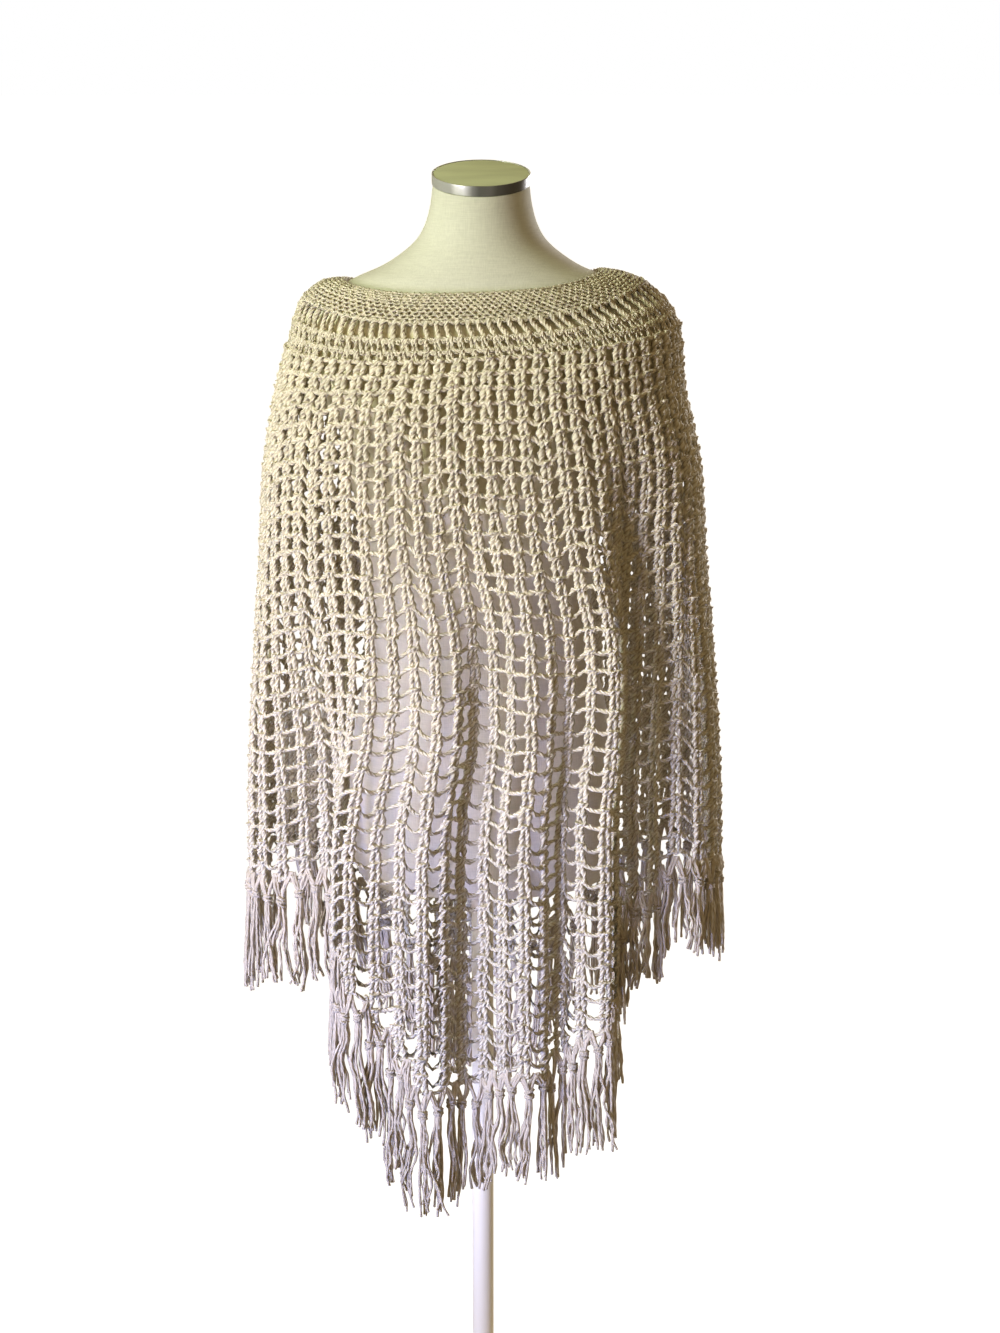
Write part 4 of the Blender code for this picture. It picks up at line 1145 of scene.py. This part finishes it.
# Spread of the random draws, in metres; fall, cut and length are shares, bearing is in radians.
FringePlay = namedtuple("FringePlay", "fall knot half bulge slack tilt lean wave cut length bearing splay "
                                      "stray crimp")
FRINGE_PLAY = FringePlay(fall=0.28, knot=0.0012, half=0.0004, bulge=0.0006, slack=0.0014, tilt=0.0016,
                         lean=0.0045, wave=0.0026, cut=0.06, length=0.055, bearing=0.4, splay=0.0034,
                         stray=0.011, crimp=0.0013)


def hem_route(first_column, last_column, spacing):
    """Where fringe bundles are looped in: even steps along the hem and down its open edges."""
    corners = []
    for column in range(first_column, last_column):
        row = hem_row(column)
        left = column + 0.5 - HEM_CORNER
        right = column + 0.5 + HEM_CORNER
        before = hem_row(column - 1)
        after = hem_row(column + 1)
        if before < row:
            corners.append((left, before + FIRST_BUNDLE))
        corners += [(left, row), (right, row)]
        if after < row:
            corners.append((right, after + FIRST_BUNDLE))
    corners = np.array(corners)
    fine = np.concatenate([np.linspace(start, stop, ROUTE_STEPS, endpoint=False)
                           for start, stop in zip(corners, corners[1:])] + [corners[-1:]])
    step = np.diff(on_cloth(fine[:, 0], fine[:, 1]), axis=0)
    length = np.sqrt((step[:, :2] ** 2).sum(axis=1) + (STEEPNESS * step[:, 2]) ** 2)
    along = np.concatenate([[0.0], np.cumsum(length)])
    count = int(round(along[-1] / spacing))
    at = (np.arange(count) + 0.5) * along[-1] / count
    return np.interp(at, along, fine[:, 0]), np.interp(at, along, fine[:, 1])


class PONCHO_OT_fringe(bpy.types.Operator):
    """Loop bundles into the hem, knot neighbouring halves together and let the ends hang"""
    bl_idname = "poncho.fringe"
    bl_label = "Fringe"

    def execute(self, context):
        settings = context.scene.poncho
        fringe = settings.fringe
        rng = np.random.default_rng(fringe.seed)
        ends = yarn_material("cut_cotton_ends", fringe.colour, settings.yarn.groove_shade, strands=2.0,
                             strand_turns=12.0, depth=0.3)
        for name, node, first in (("front_fringe_knots", "front_fringe", 0),
                                  ("back_fringe_knots", "back_fringe", HALF)):
            columns, rows = hem_route(first, first + HALF, fringe.spacing)
            hems = on_cloth(columns, rows)
            outward = on_cloth(columns, rows, 1.0) - hems
            outward[:, 2] = 0.0
            outward /= np.linalg.norm(outward, axis=1, keepdims=True)
            drops = fringe.drop * read_smooth(DROPS, "column", "drop", 0.5 * (columns[1:] + columns[:-1]))
            yarns = self.bundles(hems, outward[:-1], drops, fringe, rng)
            piece = spin(name, yarns, ends, fringe.strand_radius, flatness=1.0, sides=4, unevenness=0.3,
                         seed=fringe.seed)
            declare(piece, node)
        return {"FINISHED"}

    def bundles(self, hems, outward, drops, fringe, rng):
        """Looped-in halves, knots and loose ends along one half of the hem."""
        before = hems[:-1]
        after = hems[1:]
        count = len(before)
        facing = outward[:, None, :]
        sideways = np.cross(outward, UP)[:, None, :]
        knots = 0.5 * (before + after) + outward * KNOT_OUT
        uneven = np.clip(rng.normal(0.0, FRINGE_PLAY.fall, count), *FALL_LIMITS)
        fall = fringe.knot_drop * (1.0 + uneven)
        knots[:, 2] = np.minimum(before[:, 2], after[:, 2]) - fall
        knots = knots[:, None, :] + rng.normal(0.0, FRINGE_PLAY.knot, (count, 1, 1)) * sideways
        return (self.halves((before, after), knots, facing, sideways, rng)
                + self.ties(knots, facing, sideways, rng)
                + self.loose_ends(knots, (drops - fall)[:, None, None], facing, sideways, fringe, rng))

    def halves(self, sides, knots, facing, sideways, rng):
        """The halves of two neighbouring bundles, down to the knot that ties them."""
        each = (len(knots), 1, 1)
        play = FRINGE_PLAY
        t = np.linspace(0.0, 1.0, HALF_POINTS)[None, :, None]
        arc = np.sin(math.pi * t)
        yarns = []
        for starts in sides:
            for strand in range(HALF_STRANDS):
                across = (strand - 0.5 * (HALF_STRANDS - 1)) * HALF_PITCH
                across = across + rng.normal(0.0, play.half, each)
                top = starts[:, None, :] + LOOP_RISE * UP + across * sideways
                bulge = (LOOP_BULGE + rng.normal(0.0, play.bulge, each)) * arc * facing
                slack = rng.normal(0.0, play.slack, each) * arc * sideways
                path = top * (1 - t) + knots * t + HALF_GATHER * across * t * sideways + bulge + slack
                yarns.append(lay_yarn(path, 1.0, END_TWIST, rng))
        return yarns

    def ties(self, knots, facing, sideways, rng):
        """The knots: three turns round each bundle."""
        each = (len(knots), 1, 1)
        half_width, half_depth = KNOT_HALF
        turn = np.linspace(0.0, 2.0 * math.pi, KNOT_POINTS + 1)[:-1][None, :, None]
        yarns = []
        for level in KNOT_LEVELS:
            tilt = rng.normal(0.0, FRINGE_PLAY.tilt, each)
            ring = (knots + half_width * np.cos(turn) * sideways + half_depth * np.sin(turn) * facing
                    + (level + tilt * np.cos(turn + rng.uniform(*PHASES, each))) * UP)
            yarns.append(lay_yarn(ring, KNOT_THICK, KNOT_TWIST, rng, closed=True))
        return yarns

    def loose_ends(self, knots, reach, facing, sideways, fringe, rng):
        """The ends below each knot, crimped and in one wavy clump."""
        each = (len(knots), 1, 1)
        play = FRINGE_PLAY
        t = np.linspace(0.0, 1.0, END_POINTS)[None, :, None]

        def wavy(amount, turns):
            """One wave along each end, of a height and of a number of half turns of its own."""
            height = rng.normal(0.0, amount, each)
            turned = math.pi * t * rng.uniform(*turns, each)
            return height * np.sin(turned + rng.uniform(*PHASES, each))

        lean = rng.normal(0.0, play.lean, each) * t ** HANG_POWER
        wave = wavy(play.wave, WAVE_TURNS)
        clump = rng.uniform(*CLUMP_LIMITS, each)
        cut = 1.0 + rng.normal(0.0, play.cut, each)
        yarns = []
        for strand in range(fringe.strands):
            length = reach * (cut + rng.normal(0.0, play.length, each))
            bearing = 2.0 * math.pi * strand / fringe.strands + rng.normal(0.0, play.bearing, each)
            splay = clump * (END_SPLAY + np.abs(rng.normal(0.0, play.splay, each)))
            stray = (rng.uniform(0.0, 1.0, each) < STRAY_SHARE) * rng.normal(0.0, play.stray, each)
            radius = END_RADIUS + splay * smooth_step(SPLAY_SPEED * t)
            crimp = wavy(play.crimp, CRIMP_TURNS)
            aside = (radius * np.cos(bearing) + (crimp + wave) * smooth_step(WAVE_SPEED * t) + lean
                     + stray * t ** HANG_POWER)
            out = END_DEPTH * radius * np.sin(bearing) + END_OUTWARD * length * t + CRIMP_DEPTH * crimp * t
            path = knots + aside * sideways + out * facing - length * t * UP
            yarns.append(lay_yarn(path, swollen(END_THICK, t[:, :, 0]), END_TWIST, rng))
        return yarns


# ---- the dress form ----
def form_cover(finish):
    """The torso and neck under their stretched cover, with an open socket for the pole."""
    mesh_data = bmesh.new()
    heights = [section.z for section in FORM_SECTIONS]
    keys = np.linspace(0.0, len(FORM_SECTIONS) - 1.0, FORM_LEVELS)
    levels = np.interp(keys, np.arange(len(heights)), heights)
    turns = 2.0 * np.pi * np.arange(FORM_SEGMENTS) / FORM_SEGMENTS
    rings = []
    for z in levels:
        half_width, front, back, squareness = (float(read_smooth(FORM_SECTIONS, "z", name, z))
                                               for name in Section._fields[1:])
        lean = float(smooth_step((z - NECK_FOOT) / (heights[-1] - NECK_FOOT)))
        x = half_width * squared(np.cos(turns), 2.0 / squareness)
        y = 0.5 * (back - front) + 0.5 * (back + front) * squared(np.sin(turns), 2.0 / squareness)
        height = z + (y - CAP_CENTRE.y) * math.tan(CAP_TILT) * lean
        rings.append([mesh_data.verts.new(place) for place in zip(x, y, height)])
    for lower, upper in zip(rings, rings[1:]):
        bridge(mesh_data, upper, lower)
    mesh_data.faces.new(rings[-1])
    socket = POLE_RADIUS + GAP
    mouth, end = ([mesh_data.verts.new((socket * math.cos(turn), socket * math.sin(turn), z))
                   for turn in turns] for z in (heights[0], heights[0] + POLE_SOCKET + GAP))
    bridge(mesh_data, rings[0], mouth)
    bridge(mesh_data, mouth, end)
    mesh_data.faces.new(end)
    return add_mesh("form_cover", mesh_data, finish)


def turned_ring(name, outline, finish, closed, segments=FORM_SEGMENTS):
    """A piece turned about Z from (radius, z) points and set on the leaning neck top, in its mesh;
    closed joins the last point to the first."""
    mesh_data = bmesh.new()
    turns = [2.0 * math.pi * step / segments for step in range(segments)]
    rings = [[mesh_data.verts.new((radius * math.cos(turn), radius * math.sin(turn), z))
              for turn in (turns if radius else turns[:1])] for radius, z in outline]
    for upper, lower in zip(rings, rings[1:] + (rings[:1] if closed else [])):
        if len(upper) > 1 and len(lower) > 1:
            bridge(mesh_data, upper, lower)
            continue
        tip, rim = (upper[0], lower) if len(upper) == 1 else (lower[0], upper)
        for step in range(segments):
            mesh_data.faces.new((tip, rim[step], rim[(step + 1) % segments]))
    made = add_mesh(name, mesh_data, finish, smooth_angle=35.0)
    made.data.transform(Matrix.Translation(CAP_CENTRE) @ Matrix.Rotation(CAP_TILT, 4, "X"))
    return made


def soften(outline, radius=0.0005, steps=4):
    """The outline with each corner away from the axis rounded by short arcs."""
    made = []
    for place, corner in enumerate(outline):
        corner = Vector(corner)
        if corner.x == 0.0:
            made.append(tuple(corner))
            continue
        ways = [Vector(outline[other % len(outline)]) - corner for other in (place - 1, place + 1)]
        start, stop = (corner + way.normalized() * min(radius, 0.45 * way.length) for way in ways)
        for step in range(steps + 1):
            t = step / steps
            made.append(tuple(start * (1 - t) ** 2 + corner * 2 * t * (1 - t) + stop * t ** 2))
    return made


class PONCHO_OT_dress_form(bpy.types.Operator):
    """Cover the torso and finish the neck cap, the pole and the base"""
    bl_idname = "poncho.dress_form"
    bl_label = "Dress form"

    def execute(self, context):
        form = context.scene.poncho.form
        declare(form_cover(jersey_material(form.cover, form.yoke_painted_light_cover, form.low_painted_light_cover)),
                "form_body")
        half = 0.5 * CAP_HEIGHT
        inner = CAP_RADIUS - CAP_WALL
        band = soften(((CAP_RADIUS, half), (CAP_RADIUS, -half), (inner, -half), (inner, half)))
        declare(turned_ring("cap_ring_brushed", band, steel_material(form.steel), True),
                "cap_ring")
        rim = inner - GAP
        top = half - CAP_PLATE_INSET
        under = top - CAP_PLATE_THICKNESS
        disc = soften(((0.0, top), (rim, top), (rim, under), (0.0, under)))
        declare(turned_ring("cap_plate_moulded", disc, plate_material(form.plate), False),
                "cap_plate")
        enamel = enamel_material(form.enamel)
        for node in ("stand_pole", "stand_base"):
            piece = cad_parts[node]
            piece.data.materials.clear()
            piece.data.materials.append(enamel)
        return {"FINISHED"}


# ---- the studio ----
CAMERA_PLACE = (0.020, -2.8, 1.60)
CAMERA_PITCH = math.radians(13.89)
FOCAL_PIXELS = 2587.0
PICTURE_HEIGHT = 1333.0
SENSOR = 36.0
FLOOR_HALF_WIDTH = 60.0
FLOOR_DROP = 0.0002              # keeps the floor's face clear of the base's underside
ROOM_COLOUR = (1.0, 0.73, 0.37)

# Places and targets in metres, colours linear, spreads in degrees.
Light = namedtuple("Light", "name setting place target size colour spread")
LIGHTS = (
    Light("high_light", "high_power", (-2.1, -1.7, 2.2), (0, 0, 1.35), 1.0, (0.87, 1.0, 0.66), 50.0),
    Light("middle_light", "middle_power", (-1.8, -1.8, 1.1), (0, 0, 0.85), 0.8, (0.96, 0.85, 1.0), 40.0),
    Light("low_light", "low_power", (-1.55, -1.82, 0.45), (0, 0, 0.50), 0.6, (0.34, 0.45, 1.0), 36.0),
    Light("back_light", "back_power", (1.7, 2.3, 1.5), (0, 0, 0.95), 1.2, (0.96, 0.96, 1.0), 60.0),
)


def area_light(light, power):
    """A soft square light that points at its target."""
    data = bpy.data.lights.new(light.name, "AREA")
    data.shape = "RECTANGLE"
    data.size = data.size_y = light.size
    data.energy = power
    data.color = light.colour
    data.spread = math.radians(light.spread)
    made = add_object(light.name, data)
    made.location = light.place
    made.rotation_euler = (Vector(light.target) - Vector(light.place)).to_track_quat("-Z", "Y").to_euler()


class PONCHO_OT_stage(bpy.types.Operator):
    """Lay the pale floor and set the soft studio light and the camera"""
    bl_idname = "poncho.stage"
    bl_label = "Stage"

    def execute(self, context):
        stage = context.scene.poncho.stage
        mesh_data = bmesh.new()
        bmesh.ops.create_grid(mesh_data, x_segments=1, y_segments=1, size=FLOOR_HALF_WIDTH)
        floor = add_mesh("studio_floor", mesh_data, floor_material(stage.floor, stage.glow))
        floor.data.transform(Matrix.Translation((0.0, 0.0, -FLOOR_DROP)))
        for light in LIGHTS:
            area_light(light, getattr(stage, light.setting))
        context.scene.world = room_light(stage.room, ROOM_COLOUR)
        context.scene.view_settings.view_transform = "Standard"
        data = bpy.data.cameras.new("camera")
        data.lens = FOCAL_PIXELS * SENSOR / PICTURE_HEIGHT
        data.sensor_width = SENSOR
        camera = add_object("camera", data)
        camera.location = CAMERA_PLACE
        camera.rotation_euler = (0.5 * math.pi - CAMERA_PITCH, 0.0, 0.0)
        context.scene.camera = camera
        return {"FINISHED"}


OPERATORS = (PONCHO_OT_stage, PONCHO_OT_neck_band, PONCHO_OT_yoke, PONCHO_OT_open_mesh, PONCHO_OT_fringe,
             PONCHO_OT_dress_form)


class PONCHO_PT_panel(bpy.types.Panel):
    """Lists the settings and the pieces."""
    bl_label = "Poncho"
    bl_idname = "PONCHO_PT_panel"
    bl_space_type = "VIEW_3D"
    bl_region_type = "UI"
    bl_category = "Poncho"

    def draw(self, context):
        settings = context.scene.poncho
        for group in (settings.yarn, settings.mesh, settings.fringe, settings.form, settings.stage):
            box = self.layout.box()
            for name in group.__annotations__:
                box.prop(group, name)
        for operator in OPERATORS:
            self.layout.operator(operator.bl_idname)


CLASSES = (YarnSettings, MeshSettings, FringeSettings, FormSettings, StageSettings, PonchoSettings,
           *OPERATORS, PONCHO_PT_panel)


def register():
    for made in CLASSES:
        bpy.utils.register_class(made)
    bpy.types.Scene.poncho = PointerProperty(type=PonchoSettings)


def unregister():
    del bpy.types.Scene.poncho
    for made in reversed(CLASSES):
        bpy.utils.unregister_class(made)


def main():
    """Make every piece in order."""
    register()
    for operator in OPERATORS:
        group, name = operator.bl_idname.split(".")
        getattr(getattr(bpy.ops, group), name)()


if __name__ == "__main__":
    main()
